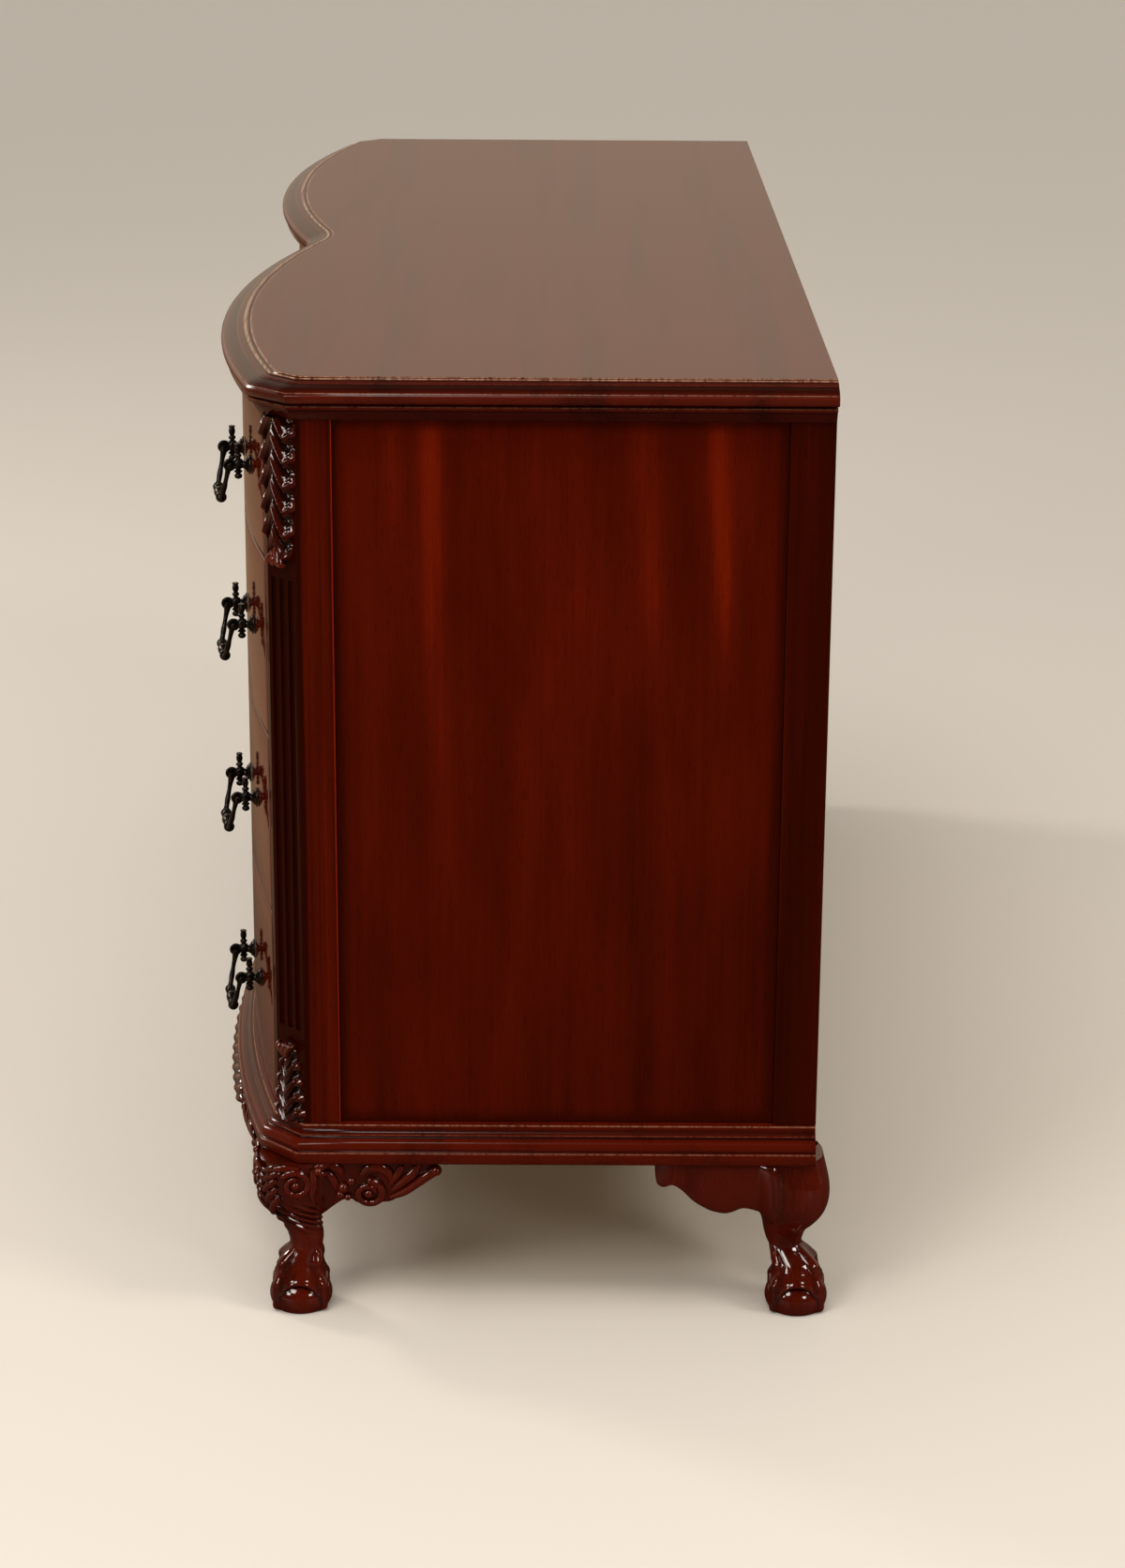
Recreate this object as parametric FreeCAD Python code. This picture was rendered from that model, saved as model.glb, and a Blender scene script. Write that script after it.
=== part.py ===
"""Double dresser: double-bow front, canted fluted corners, cabriole legs, bail pulls.

Millimetres, +Z up, front towards -Y. The origin is on the floor in the middle of the footprint.
"""
import FreeCAD
import Part
import math
import os

from FreeCAD import Vector

# Case
height = 870.0
case_width = 1510.0
case_depth = 533.0
back_y = 267.0
bow_centre_share = 0.5093
notch_depth = 50.0
notch_radius = 140.0
cant_setback = 70.7
joint_clearance = 0.1
cut_overrun = 50.0

# Top board and the bead moulding under it
top_thickness = 19.0
top_edge_width = 28.0
top_flat_front = -10.0
top_flat_side = -3.0
top_flat_cant = -6.0
top_edge_shares = ((0.0, 0.0), (0.06, 0.0), (0.1, 0.12), (0.25, 0.55), (0.45, 0.9), (0.6, 1.0),
                   (0.85, 1.0), (1.0, 0.86))
bead_height = 17.0
bead_width = 16.0
bead_edge_shares = ((0.0, 0.55), (0.15, 0.55), (0.2, 0.9), (0.45, 0.9), (0.5, 0.6), (1.0, 0.3))

# Base frame
base_top = 185.0
leg_height = 152.0
base_edge_width = 18.0
base_edge_shares = ((0.0, 0.2), (0.14, 0.33), (0.22, 0.5), (0.3, 0.75), (0.42, 0.84), (0.54, 0.84),
                    (0.58, 1.0), (1.0, 1.0))
bottom_thickness = 16.0

# Gadrooned strip under the front of the base
gadroon_height = 20.0
gadroon_inner = 4.0
gadroon_outer = 27.0
gadroon_end_gap = 8.0
gadroon_edge_shares = ((0.0, 0.75), (0.3, 1.0), (0.7, 1.0), (1.0, 0.75))

# Posts, stile, partition and panels
post_width = 40.0
post_side_face = 31.5
rear_post_depth = 39.0
stile_width = 72.0
partition_thickness = 20.0
panel_recess = 5.0
panel_thickness = 8.0
back_panel_thickness = 6.0
back_panel_inset = 2.0
flute_radius = 3.5
flute_pitch = 11.0
flute_count = 3
flute_end_gap = 10.0

# Carved leaves on the canted corners, as pads
carving_width = 34.0
carving_thickness = 9.0
upper_carving_height = 134.0
lower_carving_height = 78.0
carving_outline_shares = ((-0.5, 0.0), (-0.5, 0.45), (-0.3, 0.8), (0.0, 1.0), (0.3, 0.8), (0.5, 0.45),
                          (0.5, 0.0))

# Drawers
upper_row_heights = (129.0, 159.0, 163.0)
drawer_gap = 3.0
drawer_side_gap = 2.0
front_thickness = 22.0
box_inset = 3.0
box_side_thickness = 12.0
box_back_thickness = 12.0
box_bottom_thickness = 6.0
box_bottom_raise = 8.0
box_headroom = 5.0
box_back_gap = 34.0
slide_clearance = 0.3
rail_thickness = 16.0
rail_depth = 47.0
rail_front_gap = 1.5
runner_overlap = 9.0

# Pulls: turned posts with an eye, and a bail on two pins
pull_end_inset = 118.0
post_spacing = 76.0
rosette_radius = 9.0
rosette_thickness = 3.0
stem_radius = 4.0
stem_length = 10.5
spindle_radius = 4.6
spindle_below = 13.0
spindle_above = 19.0
spindle_shares = ((0.0, -1.0), (0.45, -0.95), (0.35, -0.75), (0.85, -0.5), (1.0, 0.0), (0.9, 0.3),
                  (0.4, 0.45), (0.65, 0.55), (0.35, 0.66), (0.55, 0.78), (0.3, 0.9), (0.0, 1.0))
eye_wall = 3.0
eye_neck = 0.9
eye_width = 5.0
pin_radius = 2.0
pin_clearance = 0.05
pin_head_radius = 3.2
pin_head_length = 1.6
pin_end_gap = 0.8
bail_wire_radius = 2.5
bail_shoulder_radius = 2.7
bail_shoulder_gap = 1.8
bail_drop = 34.0
bail_lean = 12.0
grip_half_length = 25.0
grip_radius = 5.0
grip_shares = ((0.0, 1.0), (0.25, 0.95), (0.4, 0.6), (0.6, 0.6), (0.68, 0.85), (0.78, 0.85), (0.85, 0.55),
               (1.0, 0.55))
stud_radius = 2.0
stud_hole_clearance = 0.2
nut_radius = 5.0
nut_thickness = 4.0
nut_sides = 6
stud_end = 1.5
seat_clearance = 0.03

# Legs, with shares of the leg height, and of the foot radius for inset and radius
foot_radius = 29.0
sole_flat = 3.0
foot_side_inset = 12.0
front_foot_setback = 63.0
rear_foot_inset = 13.0
front_leg_shares = ((1.0, 0.17, 1.24), (0.88, 0.17, 1.3), (0.75, 0.1, 1.14), (0.6, 0.02, 0.74),
                    (0.45, 0.14, 0.58), (0.32, 0.05, 0.72))
rear_leg_shares = ((1.0, 0.48, 1.07), (0.8, 0.14, 1.14), (0.62, 0.28, 0.9), (0.46, 0.5, 0.6),
                   (0.32, 0.25, 0.68))

# Leg brackets, with outlines as shares of their length and height
bracket_thickness = 18.0
bracket_height = 57.0
bracket_side_proud = 4.0
front_bracket_length = 88.0
rear_bracket_length = 98.0
bow_bracket_length = 92.0
bow_bracket_proud = 14.0
bracket_gap = 0.3
carved_bracket_shares = ((0.0, 0.95), (0.24, 1.0), (0.5, 0.88), (0.77, 0.58), (1.0, 0.14))
plain_bracket_shares = ((0.0, 0.95), (0.25, 1.0), (0.4, 0.85), (0.58, 0.6), (0.8, 0.3), (0.92, 0.5),
                        (1.0, 0.25))

# Worked out from the sizes above
half_width = case_width / 2
front_y = back_y - case_depth
bow_centre_x = half_width * bow_centre_share
cant_side_y = front_y + cant_setback
post_back_y = cant_side_y + post_side_face
case_top = height - top_thickness - bead_height
centre_distance = (bow_centre_x**2 + notch_depth**2) / (2 * notch_depth)
bow_radius = centre_distance - notch_radius
bow_centre_y = front_y + bow_radius
tangent_sine = bow_centre_x / centre_distance
tangent_cosine = math.sqrt(1 - tangent_sine**2)
notch_centre_y = bow_centre_y - centre_distance * tangent_cosine
post_inner_x = half_width - post_width
stile_half = stile_width / 2
panel_outer_x = half_width - panel_recess
panel_inner_x = panel_outer_x - panel_thickness
rear_post_y = back_y - rear_post_depth
back_panel_y = back_y - back_panel_inset - back_panel_thickness
front_x0 = stile_half + drawer_side_gap
front_x1 = post_inner_x - drawer_side_gap
box_x0 = front_x0 + box_inset
box_x1 = front_x1 - box_inset
box_back_y = back_panel_y - box_back_gap
eye_radius = pin_radius + eye_wall
eye_reach = stem_length + spindle_radius + pin_radius + eye_neck
foot_x = half_width - foot_side_inset
front_foot_y = front_y + front_foot_setback
rear_foot_y = back_y - rear_foot_inset
foot_centre_height = foot_radius - sole_flat
diagonal = math.sqrt(0.5)


def bow_y(x, offset):
    """Front line of the right-hand bow at x, moved outwards by offset."""
    return bow_centre_y - math.sqrt((bow_radius + offset)**2 - (x - bow_centre_x)**2)


def rail_front_y():
    """Front of the drawer rails, just behind the rearmost point of the drawer fronts."""
    rearmost = max(bow_y(front_x0, -front_thickness), bow_y(front_x1, -front_thickness))
    return rearmost + rail_front_gap


def row_spans():
    """Bottom and top of each row of drawer fronts, from the top row down; the last row fills the rest."""
    spans = []
    top = case_top - drawer_gap
    for row_height in upper_row_heights:
        spans.append((top - row_height, top))
        top = top - row_height - drawer_gap
    spans.append((base_top + drawer_gap, top))
    return spans


def block(x0, x1, y0, y1, z0, z1):
    """Box between two corners."""
    return Part.makeBox(x1 - x0, y1 - y0, z1 - z0, Vector(x0, y0, z0))


def mirrored(shape):
    """The same shape on the other side of the dresser's middle plane."""
    return shape.mirror(Vector(0, 0, 0), Vector(1, 0, 0))


def both_sides(shape):
    """A right-hand shape with its left-hand twin."""
    return [shape, mirrored(shape)]


def extruded(points, direction):
    """Prism of a closed outline."""
    wire = Part.makePolygon(list(points) + [points[0]])
    return Part.Face(wire).extrude(direction)


def arc(start, middle, end):
    """Arc edge through three points."""
    return Part.Arc(start, middle, end).toShape()


def cant_corners(front, side, cant):
    """Ends of the canted corner: on the side face, and on the bow, for the three outward offsets."""
    shift = half_width - cant_side_y + cant / diagonal
    side_x = half_width + side
    half_sum = (bow_centre_x + shift + bow_centre_y) / 2
    rest = bow_centre_x**2 + (shift + bow_centre_y)**2 - (bow_radius + front)**2
    bow_x = half_sum - math.sqrt(half_sum**2 - rest / 2)
    return (side_x, side_x - shift), (bow_x, bow_x - shift)


def tangent_point(offset):
    """Where the bow runs into the notch, moved outwards by offset."""
    reach = bow_radius + offset
    return bow_centre_x - reach * tangent_sine, bow_centre_y - reach * tangent_cosine


def plan_wire(z, front, side, cant):
    """Outline of the case seen from above, with its front, sides and canted corners moved outwards."""
    side_end, bow_end = cant_corners(front, side, cant)
    tangent_x, tangent_y = tangent_point(front)
    rear = Vector(side_end[0], back_y, z)
    shoulder = Vector(side_end[0], side_end[1], z)
    corner = Vector(bow_end[0], bow_end[1], z)
    apex = Vector(bow_centre_x, front_y - front, z)
    turn = Vector(tangent_x, tangent_y, z)
    notch = Vector(0, notch_centre_y + notch_radius - front, z)
    flip = [Vector(-p.x, p.y, z) for p in (rear, shoulder, corner, apex, turn)]
    edges = [
        Part.makeLine(rear, shoulder),
        Part.makeLine(shoulder, corner),
        arc(corner, apex, turn),
        arc(turn, notch, flip[4]),
        arc(flip[4], flip[3], flip[2]),
        Part.makeLine(flip[2], flip[1]),
        Part.makeLine(flip[1], flip[0]),
        Part.makeLine(flip[0], rear),
    ]
    return Part.Wire(edges)


def moulded_slab(top, thickness, width, shares, start=(0.0, 0.0, 0.0)):
    """Slab with a moulded edge: (drop share, projection share) rings of the plan, from the top down."""
    wires = []
    for drop_share, out_share in shares:
        out = width * out_share
        wires.append(plan_wire(top - thickness * drop_share, start[0] + out, start[1] + out, start[2] + out))
    return Part.makeLoft(wires, True, True)


def frame_pieces(slab, z0, z1):
    """Front and side lengths of a moulded slab, with the room between the posts left open."""
    ahead = front_y - cut_overrun
    reach = half_width + cut_overrun
    front = slab.common(block(-reach, reach, ahead, post_back_y, z0, z1))
    side = slab.common(block(post_inner_x, reach, post_back_y, back_y, z0, z1))
    return [front] + both_sides(side)


def top_board():
    start = (top_flat_front, top_flat_side, top_flat_cant)
    return [moulded_slab(height, top_thickness, top_edge_width, top_edge_shares, start)]


def bead_moulding():
    top = height - top_thickness
    slab = moulded_slab(top, bead_height, bead_width, bead_edge_shares)
    back_rail = block(-post_inner_x, post_inner_x, rear_post_y, back_y, case_top, top)
    return frame_pieces(slab, case_top, top) + [back_rail]


def base_frame():
    slab = moulded_slab(base_top, base_top - leg_height, base_edge_width, base_edge_shares)
    board_underside = base_top - bottom_thickness
    back_rail = block(-post_inner_x, post_inner_x, rear_post_y, back_y, leg_height, board_underside)
    return frame_pieces(slab, leg_height, base_top) + [back_rail]


def bottom_board():
    return [block(-post_inner_x, post_inner_x, post_back_y, back_y, base_top - bottom_thickness, base_top)]


def gadroon_ring(z, outer):
    """Closed band along both bows and the notch, between the inner line and an outer one."""
    half_length = foot_x - leg_reach(front_leg_shares) - bow_bracket_length - gadroon_end_gap
    edges = []
    ends = []
    for offset, order in ((outer, 1), (gadroon_inner, -1)):
        tangent_x, tangent_y = tangent_point(offset)
        end = Vector(half_length, bow_y(half_length, offset), z)
        apex = Vector(bow_centre_x, front_y - offset, z)
        turn = Vector(tangent_x, tangent_y, z)
        notch = Vector(0, notch_centre_y + notch_radius - offset, z)
        run = [end, apex, turn, notch]
        run += [Vector(-p.x, p.y, z) for p in (turn, apex, end)]
        run = run[::order]
        edges += [arc(run[0], run[1], run[2]), arc(run[2], run[3], run[4]), arc(run[4], run[5], run[6])]
        ends.append((run[0], run[6]))
    edges.insert(3, Part.makeLine(ends[0][1], ends[1][0]))
    edges.append(Part.makeLine(ends[1][1], ends[0][0]))
    return Part.Wire(edges)


def gadroon_strip():
    wires = []
    for drop_share, out_share in gadroon_edge_shares:
        outer = gadroon_inner + (gadroon_outer - gadroon_inner) * out_share
        wires.append(gadroon_ring(leg_height - gadroon_height * drop_share, outer))
    return [Part.makeLoft(wires, True, True)]


def case_prism():
    """The whole plan between the base and the bead moulding."""
    return Part.Face(plan_wire(base_top, 0, 0, 0)).extrude(Vector(0, 0, case_top - base_top))


def cant_place(along, out, z):
    """Point on the right canted face: along it, out of it, and at a height."""
    side_end, bow_end = cant_corners(0, 0, 0)
    middle_x = (side_end[0] + bow_end[0]) / 2
    middle_y = (side_end[1] + bow_end[1]) / 2
    return Vector(middle_x + (out - along) * diagonal, middle_y - (out + along) * diagonal, z)


def front_post():
    outside = half_width + cut_overrun
    reach = block(post_inner_x, outside, front_y - cut_overrun, post_back_y, base_top, case_top)
    post = case_prism().common(reach)
    z0 = base_top + lower_carving_height + flute_end_gap
    length = case_top - upper_carving_height - flute_end_gap - z0
    for index in range(flute_count):
        along = (index - (flute_count - 1) / 2) * flute_pitch
        post = post.cut(Part.makeCylinder(flute_radius, length, cant_place(along, 0, z0)))
    return post


def rear_posts():
    return both_sides(block(post_inner_x, half_width, rear_post_y, back_y, base_top, case_top))


def side_panels():
    return both_sides(block(panel_inner_x, panel_outer_x, post_back_y, rear_post_y, base_top, case_top))


def centre_stile():
    reach = block(-stile_half, stile_half, front_y - cut_overrun, post_back_y, base_top, case_top)
    return [case_prism().common(reach)]


def centre_partition():
    half = partition_thickness / 2
    return [block(-half, half, post_back_y, back_panel_y, base_top, case_top)]


def back_panel():
    rear = back_panel_y + back_panel_thickness
    return [block(-post_inner_x, post_inner_x, back_panel_y, rear, base_top, case_top)]


def rail_levels():
    """Underside of the rail below each row, from the top row down."""
    return [bottom - drawer_gap for bottom, top in row_spans()]


def drawer_rails():
    y0 = rail_front_y()
    solids = []
    for level in rail_levels() + [case_top - rail_thickness]:
        rail = block(stile_half, post_inner_x, y0, y0 + rail_depth, level, level + rail_thickness)
        solids += both_sides(rail)
    return solids


def drawer_runners():
    y0 = rail_front_y() + rail_depth
    inner_end = box_x0 + box_side_thickness + runner_overlap
    outer_start = box_x1 - box_side_thickness - runner_overlap
    solids = []
    for level in rail_levels():
        top = level + rail_thickness
        solids += both_sides(block(partition_thickness / 2, inner_end, y0, back_panel_y, level, top))
        solids += both_sides(block(outer_start, panel_inner_x, y0, rear_post_y, level, top))
    return solids


def carving_pad(root_z, reach):
    """Leaf-shaped pad on the canted face, from its root along reach, up or down."""
    points = [cant_place(s * carving_width, 0, root_z + t * reach) for s, t in carving_outline_shares]
    return extruded(points, Vector(diagonal, -diagonal, 0) * carving_thickness)


def corner_carvings():
    upper = carving_pad(case_top, -upper_carving_height)
    lower = carving_pad(base_top, lower_carving_height)
    return both_sides(upper) + both_sides(lower)


def bow_sector(x0, x1, inner, outer, z0, z1):
    """Curved board along the right bow between two outward offsets."""
    middle = (x0 + x1) / 2
    near = [Vector(x, bow_y(x, outer), z0) for x in (x0, middle, x1)]
    far = [Vector(x, bow_y(x, inner), z0) for x in (x1, middle, x0)]
    edges = [arc(*near), Part.makeLine(near[2], far[0]), arc(*far), Part.makeLine(far[2], near[0])]
    return Part.Face(Part.Wire(edges)).extrude(Vector(0, 0, z1 - z0))


def behind_front(shape, z0, z1):
    """The part of a shape that lies clear behind the back of the right-hand drawer fronts."""
    reach = bow_radius - front_thickness - joint_clearance
    centre = Vector(bow_centre_x, bow_centre_y, z0)
    return shape.common(Part.makeCylinder(reach, z1 - z0, centre))


def pull_frames(drawer_middle):
    """Place of the inner and outer pull of a right-hand drawer: face point and turn about Z."""
    frames = []
    for x in (front_x0 + pull_end_inset, front_x1 - pull_end_inset):
        turn = math.degrees(math.asin((x - bow_centre_x) / bow_radius))
        face_point = Vector(x, bow_y(x, 0), drawer_middle)
        frames.append(FreeCAD.Placement(face_point, FreeCAD.Rotation(Vector(0, 0, 1), turn)))
    return frames


def post_seat_y():
    """Back of the rosette: clear of the bowed face under it."""
    return (post_spacing / 2 - rosette_radius)**2 / (2 * bow_radius) - seat_clearance


def nut_seat_y():
    """Front of the nut: clear of the bowed back of the drawer front."""
    reach = post_spacing / 2 + nut_radius
    return bow_radius - math.sqrt((bow_radius - front_thickness)**2 - reach**2) + seat_clearance


def turned(profile, axis_point, axis):
    """Solid of revolution of a closed profile."""
    return Part.Face(Part.makePolygon(profile + [profile[0]])).revolve(axis_point, axis, 360)


def pull_post():
    """Turned post with rosette, stem, spindle, eye and stud, about the local middle of its rosette."""
    back = Vector(0, 1, 0)
    seat = post_seat_y()
    axis_y = -stem_length
    rosette_start = Vector(0, seat - rosette_thickness, 0)
    rosette = Part.makeCylinder(rosette_radius, rosette_thickness, rosette_start, back)
    stem = Part.makeCylinder(stem_radius, stem_length + seat, Vector(0, axis_y, 0), back)
    profile = []
    for radius_share, z_share in spindle_shares:
        reach = spindle_above if z_share > 0 else spindle_below
        profile.append(Vector(spindle_radius * radius_share, axis_y, reach * z_share))
    spindle = turned(profile, Vector(0, axis_y, 0), Vector(0, 0, 1))
    eye_start = Vector(-eye_width / 2, -eye_reach, 0)
    eye = Part.makeCylinder(eye_radius, eye_width, eye_start, Vector(1, 0, 0))
    stud_length = nut_seat_y() + nut_thickness + stud_end - seat
    stud = Part.makeCylinder(stud_radius, stud_length, Vector(0, seat, 0), back)
    body = rosette.multiFuse([stem, spindle, eye, stud])
    bore = Part.makeCylinder(pin_radius + pin_clearance, eye_width, eye_start, Vector(1, 0, 0))
    return body.cut(bore).removeSplitter()


def pull_nut():
    """Six-sided nut on the inner end of a stud."""
    seat = nut_seat_y()
    points = []
    for index in range(nut_sides):
        angle = 2 * math.pi * index / nut_sides
        points.append(Vector(nut_radius * math.cos(angle), seat, nut_radius * math.sin(angle)))
    nut = extruded(points, Vector(0, nut_thickness, 0))
    bore_start = Vector(0, seat - cut_overrun, 0)
    length = nut_thickness + 2 * cut_overrun
    return nut.cut(Part.makeCylinder(stud_radius + pin_clearance, length, bore_start, Vector(0, 1, 0)))


def bail():
    """Bail about the local middle of its pull: pins, shoulders, arms and a turned grip."""
    right = Vector(1, 0, 0)
    post_x = post_spacing / 2
    shoulder_x = post_x - eye_width / 2 - bail_shoulder_radius - bail_shoulder_gap
    head_x = post_x + eye_width / 2 + pin_end_gap
    foot = Vector(grip_half_length, 0, -bail_drop)
    shoulder = Vector(shoulder_x, 0, 0)
    pin = Part.makeCylinder(pin_radius, head_x + pin_head_length - shoulder_x, shoulder, right)
    head = Part.makeCylinder(pin_head_radius, pin_head_length, Vector(head_x, 0, 0), right)
    knuckle = Part.makeSphere(bail_shoulder_radius, shoulder)
    arm = Part.makeCylinder(bail_wire_radius, (foot - shoulder).Length, shoulder, foot - shoulder)
    elbow = Part.makeSphere(bail_shoulder_radius, foot)
    half = [pin, head, knuckle, arm, elbow]
    profile = [Vector(grip_half_length * x, 0, grip_radius * r - bail_drop) for x, r in grip_shares]
    profile = [Vector(-p.x, 0, p.z) for p in profile[:0:-1]] + profile
    profile += [Vector(grip_half_length, 0, -bail_drop), Vector(-grip_half_length, 0, -bail_drop)]
    grip = turned(profile, Vector(0, 0, -bail_drop), right)
    shape = grip.multiFuse(half + [mirrored(piece) for piece in half]).removeSplitter()
    shape.rotate(Vector(0, 0, 0), right, -bail_lean)
    shape.translate(Vector(0, -eye_reach, 0))
    return shape


def placed(shape, frame, shift=0.0):
    """Copy of a shape, shifted along the pull and put in the pull's place."""
    copy = shape.copy()
    copy.translate(Vector(shift, 0, 0))
    copy.Placement = frame.multiply(copy.Placement)
    return copy


def drawer_front(bottom, top):
    """Bowed front of a right-hand drawer, with the holes for the studs."""
    front = bow_sector(front_x0, front_x1, -front_thickness, 0, bottom, top)
    start = Vector(0, -cut_overrun, 0)
    hole_length = front_thickness + 2 * cut_overrun
    hole = Part.makeCylinder(stud_radius + stud_hole_clearance, hole_length, start, Vector(0, 1, 0))
    for frame in pull_frames((bottom + top) / 2):
        for side in (-1, 1):
            front = front.cut(placed(hole, frame, side * post_spacing / 2))
    return front


def drawer_box(level, top):
    """Sides, back and bottom of a right-hand drawer; level is the underside of its rail."""
    z0 = level + rail_thickness + slide_clearance
    z1 = top + drawer_gap - rail_thickness - box_headroom
    y0 = front_y
    inner_x0 = box_x0 + box_side_thickness
    inner_x1 = box_x1 - box_side_thickness
    back_y0 = box_back_y - box_back_thickness
    floor = z0 + box_bottom_raise
    near = behind_front(block(box_x0, inner_x0, y0, box_back_y, z0, z1), z0, z1)
    far = behind_front(block(inner_x1, box_x1, y0, box_back_y, z0, z1), z0, z1)
    rear = block(inner_x0, inner_x1, back_y0, box_back_y, z0, z1)
    sheet = block(inner_x0, inner_x1, y0, back_y0, floor, floor + box_bottom_thickness)
    return [near, far, rear, behind_front(sheet, z0, z1)]


def leg(foot_y, shares, rear):
    """Right-hand leg: lofted rounds that bow out at 45 degrees, on a ball foot cut flat at the floor."""
    inward = -1 if rear else 1
    wires = []
    for z_share, inset_share, radius_share in shares:
        inset = inset_share * foot_radius
        centre = Vector(foot_x - inset, foot_y + inward * inset, leg_height * z_share)
        wires.append(Part.Wire(Part.makeCircle(radius_share * foot_radius, centre)))
    stem = Part.makeLoft(wires, True, False)
    ball = Part.makeSphere(foot_radius, Vector(foot_x, foot_y, foot_centre_height))
    reach = foot_radius + cut_overrun
    floor = block(foot_x - reach, foot_x + reach, foot_y - reach, foot_y + reach, -reach, 0)
    return stem.fuse(ball.cut(floor)).removeSplitter()


def leg_reach(shares):
    """Furthest the leg comes in from its foot's middle, below the base."""
    return max(inset + radius for z, inset, radius in shares) * foot_radius + bracket_gap


def bracket_outline(shares, length):
    """Outline of a bracket as (distance from the leg, height), along its shaped lower edge and back."""
    lower = [(length * s, leg_height - bracket_height * t) for s, t in shares]
    return [(0, leg_height)] + lower + [(length, leg_height)]


def side_bracket(start_y, direction, shares, length):
    """Bracket board under the side of the base, from the leg towards the middle."""
    x0 = half_width + bracket_side_proud - bracket_thickness
    points = [Vector(x0, start_y + direction * s, z) for s, z in bracket_outline(shares, length)]
    return extruded(points, Vector(bracket_thickness, 0, 0))


def bow_bracket(start_x):
    """Curved bracket under the front of the base, from the leg towards the gadrooned strip."""
    z0 = leg_height - bracket_height
    board = bow_sector(start_x - bow_bracket_length, start_x, bow_bracket_proud - bracket_thickness,
                       bow_bracket_proud, z0, leg_height)
    outline = bracket_outline(carved_bracket_shares, bow_bracket_length)
    points = [Vector(start_x - s, front_y - cut_overrun, z) for s, z in outline]
    return board.common(extruded(points, Vector(0, back_y - front_y, 0)))


def rear_bracket(start_x):
    """Bracket board under the back edge of the side rails."""
    y0 = back_y - back_panel_inset - bracket_thickness
    outline = bracket_outline(plain_bracket_shares, rear_bracket_length)
    points = [Vector(start_x - s, y0, z) for s, z in outline]
    return extruded(points, Vector(0, bracket_thickness, 0))


def front_leg():
    reach = leg_reach(front_leg_shares)
    side = side_bracket(front_foot_y + reach, 1, carved_bracket_shares, front_bracket_length)
    return [leg(front_foot_y, front_leg_shares, False), side, bow_bracket(foot_x - reach)]


def rear_leg():
    reach = leg_reach(rear_leg_shares)
    side = side_bracket(rear_foot_y - reach, -1, plain_bracket_shares, rear_bracket_length)
    return [leg(rear_foot_y, rear_leg_shares, True), side, rear_bracket(foot_x - reach)]


def save(name, solids):
    """Write one node: its solids side by side in one file."""
    shape = solids[0] if len(solids) == 1 else Part.makeCompound(solids)
    shape.exportStep("parts/" + name + ".step")


def save_pair(name, solids):
    """Write a right-hand node and its left-hand twin."""
    save(name + "_right", solids)
    save(name + "_left", [mirrored(solid) for solid in solids])


def save_case():
    save("top_board", top_board())
    save("bead_moulding", bead_moulding())
    save("base_frame", base_frame())
    save("bottom_board", bottom_board())
    save("gadroon_strip", gadroon_strip())
    save_pair("front_post", [front_post()])
    save("rear_posts", rear_posts())
    save("side_panels", side_panels())
    save("centre_stile", centre_stile())
    save("centre_partition", centre_partition())
    save("back_panel", back_panel())
    save("drawer_rails", drawer_rails())
    save("drawer_runners", drawer_runners())
    save("corner_carvings", corner_carvings())
    save_pair("front_leg", front_leg())
    save_pair("rear_leg", rear_leg())


def save_drawers():
    post = pull_post()
    nut = pull_nut()
    swing = bail()
    for row, (bottom, top) in enumerate(row_spans(), 1):
        level = rail_levels()[row - 1]
        frames = pull_frames((bottom + top) / 2)
        fixings = []
        for frame in frames:
            for side in (-1, 1):
                shift = side * post_spacing / 2
                fixings += [placed(post, frame, shift), placed(nut, frame, shift)]
        save_pair("drawer_front_%d" % row, [drawer_front(bottom, top)])
        save_pair("drawer_box_%d" % row, drawer_box(level, top))
        save_pair("pull_posts_%d" % row, fixings)
        save_pair("bail_%d_inner" % row, [placed(swing, frames[0])])
        save_pair("bail_%d_outer" % row, [placed(swing, frames[1])])


os.makedirs("parts", exist_ok=True)
save_case()
save_drawers()
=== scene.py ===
"""Double dresser, dressed: mouldings, carving, legs, pulls, finishes, stage and camera.

Metres, +Z up, drawers towards -Y, in the same frame as the solids.
"""

import math

import bpy
import numpy as np
from mathutils import Matrix, Vector


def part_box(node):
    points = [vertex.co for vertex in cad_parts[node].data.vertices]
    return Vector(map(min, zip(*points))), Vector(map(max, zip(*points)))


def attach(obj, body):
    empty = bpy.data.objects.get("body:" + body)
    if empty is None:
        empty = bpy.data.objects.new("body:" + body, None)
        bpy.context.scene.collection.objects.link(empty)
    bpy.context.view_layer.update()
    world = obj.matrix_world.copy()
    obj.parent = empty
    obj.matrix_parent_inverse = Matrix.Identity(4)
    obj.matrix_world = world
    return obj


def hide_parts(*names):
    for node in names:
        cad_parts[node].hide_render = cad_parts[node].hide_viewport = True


bl_info = {
    "name": "Double dresser",
    "version": (1, 0, 0),
    "blender": (4, 5, 0),
    "location": "View3D > Sidebar > Dresser",
    "description": "Mouldings, carving, pulls and finishes of a double-bow dresser",
    "category": "Object",
}

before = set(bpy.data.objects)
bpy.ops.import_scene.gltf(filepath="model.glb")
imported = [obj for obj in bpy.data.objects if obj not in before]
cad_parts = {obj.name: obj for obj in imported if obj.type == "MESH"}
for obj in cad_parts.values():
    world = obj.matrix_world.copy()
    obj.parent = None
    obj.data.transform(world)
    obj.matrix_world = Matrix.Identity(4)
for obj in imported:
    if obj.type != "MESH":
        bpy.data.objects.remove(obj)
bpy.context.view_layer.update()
MM = 0.001
MERGE_DISTANCE = 0.02 * MM
TINY = 1e-9

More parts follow.
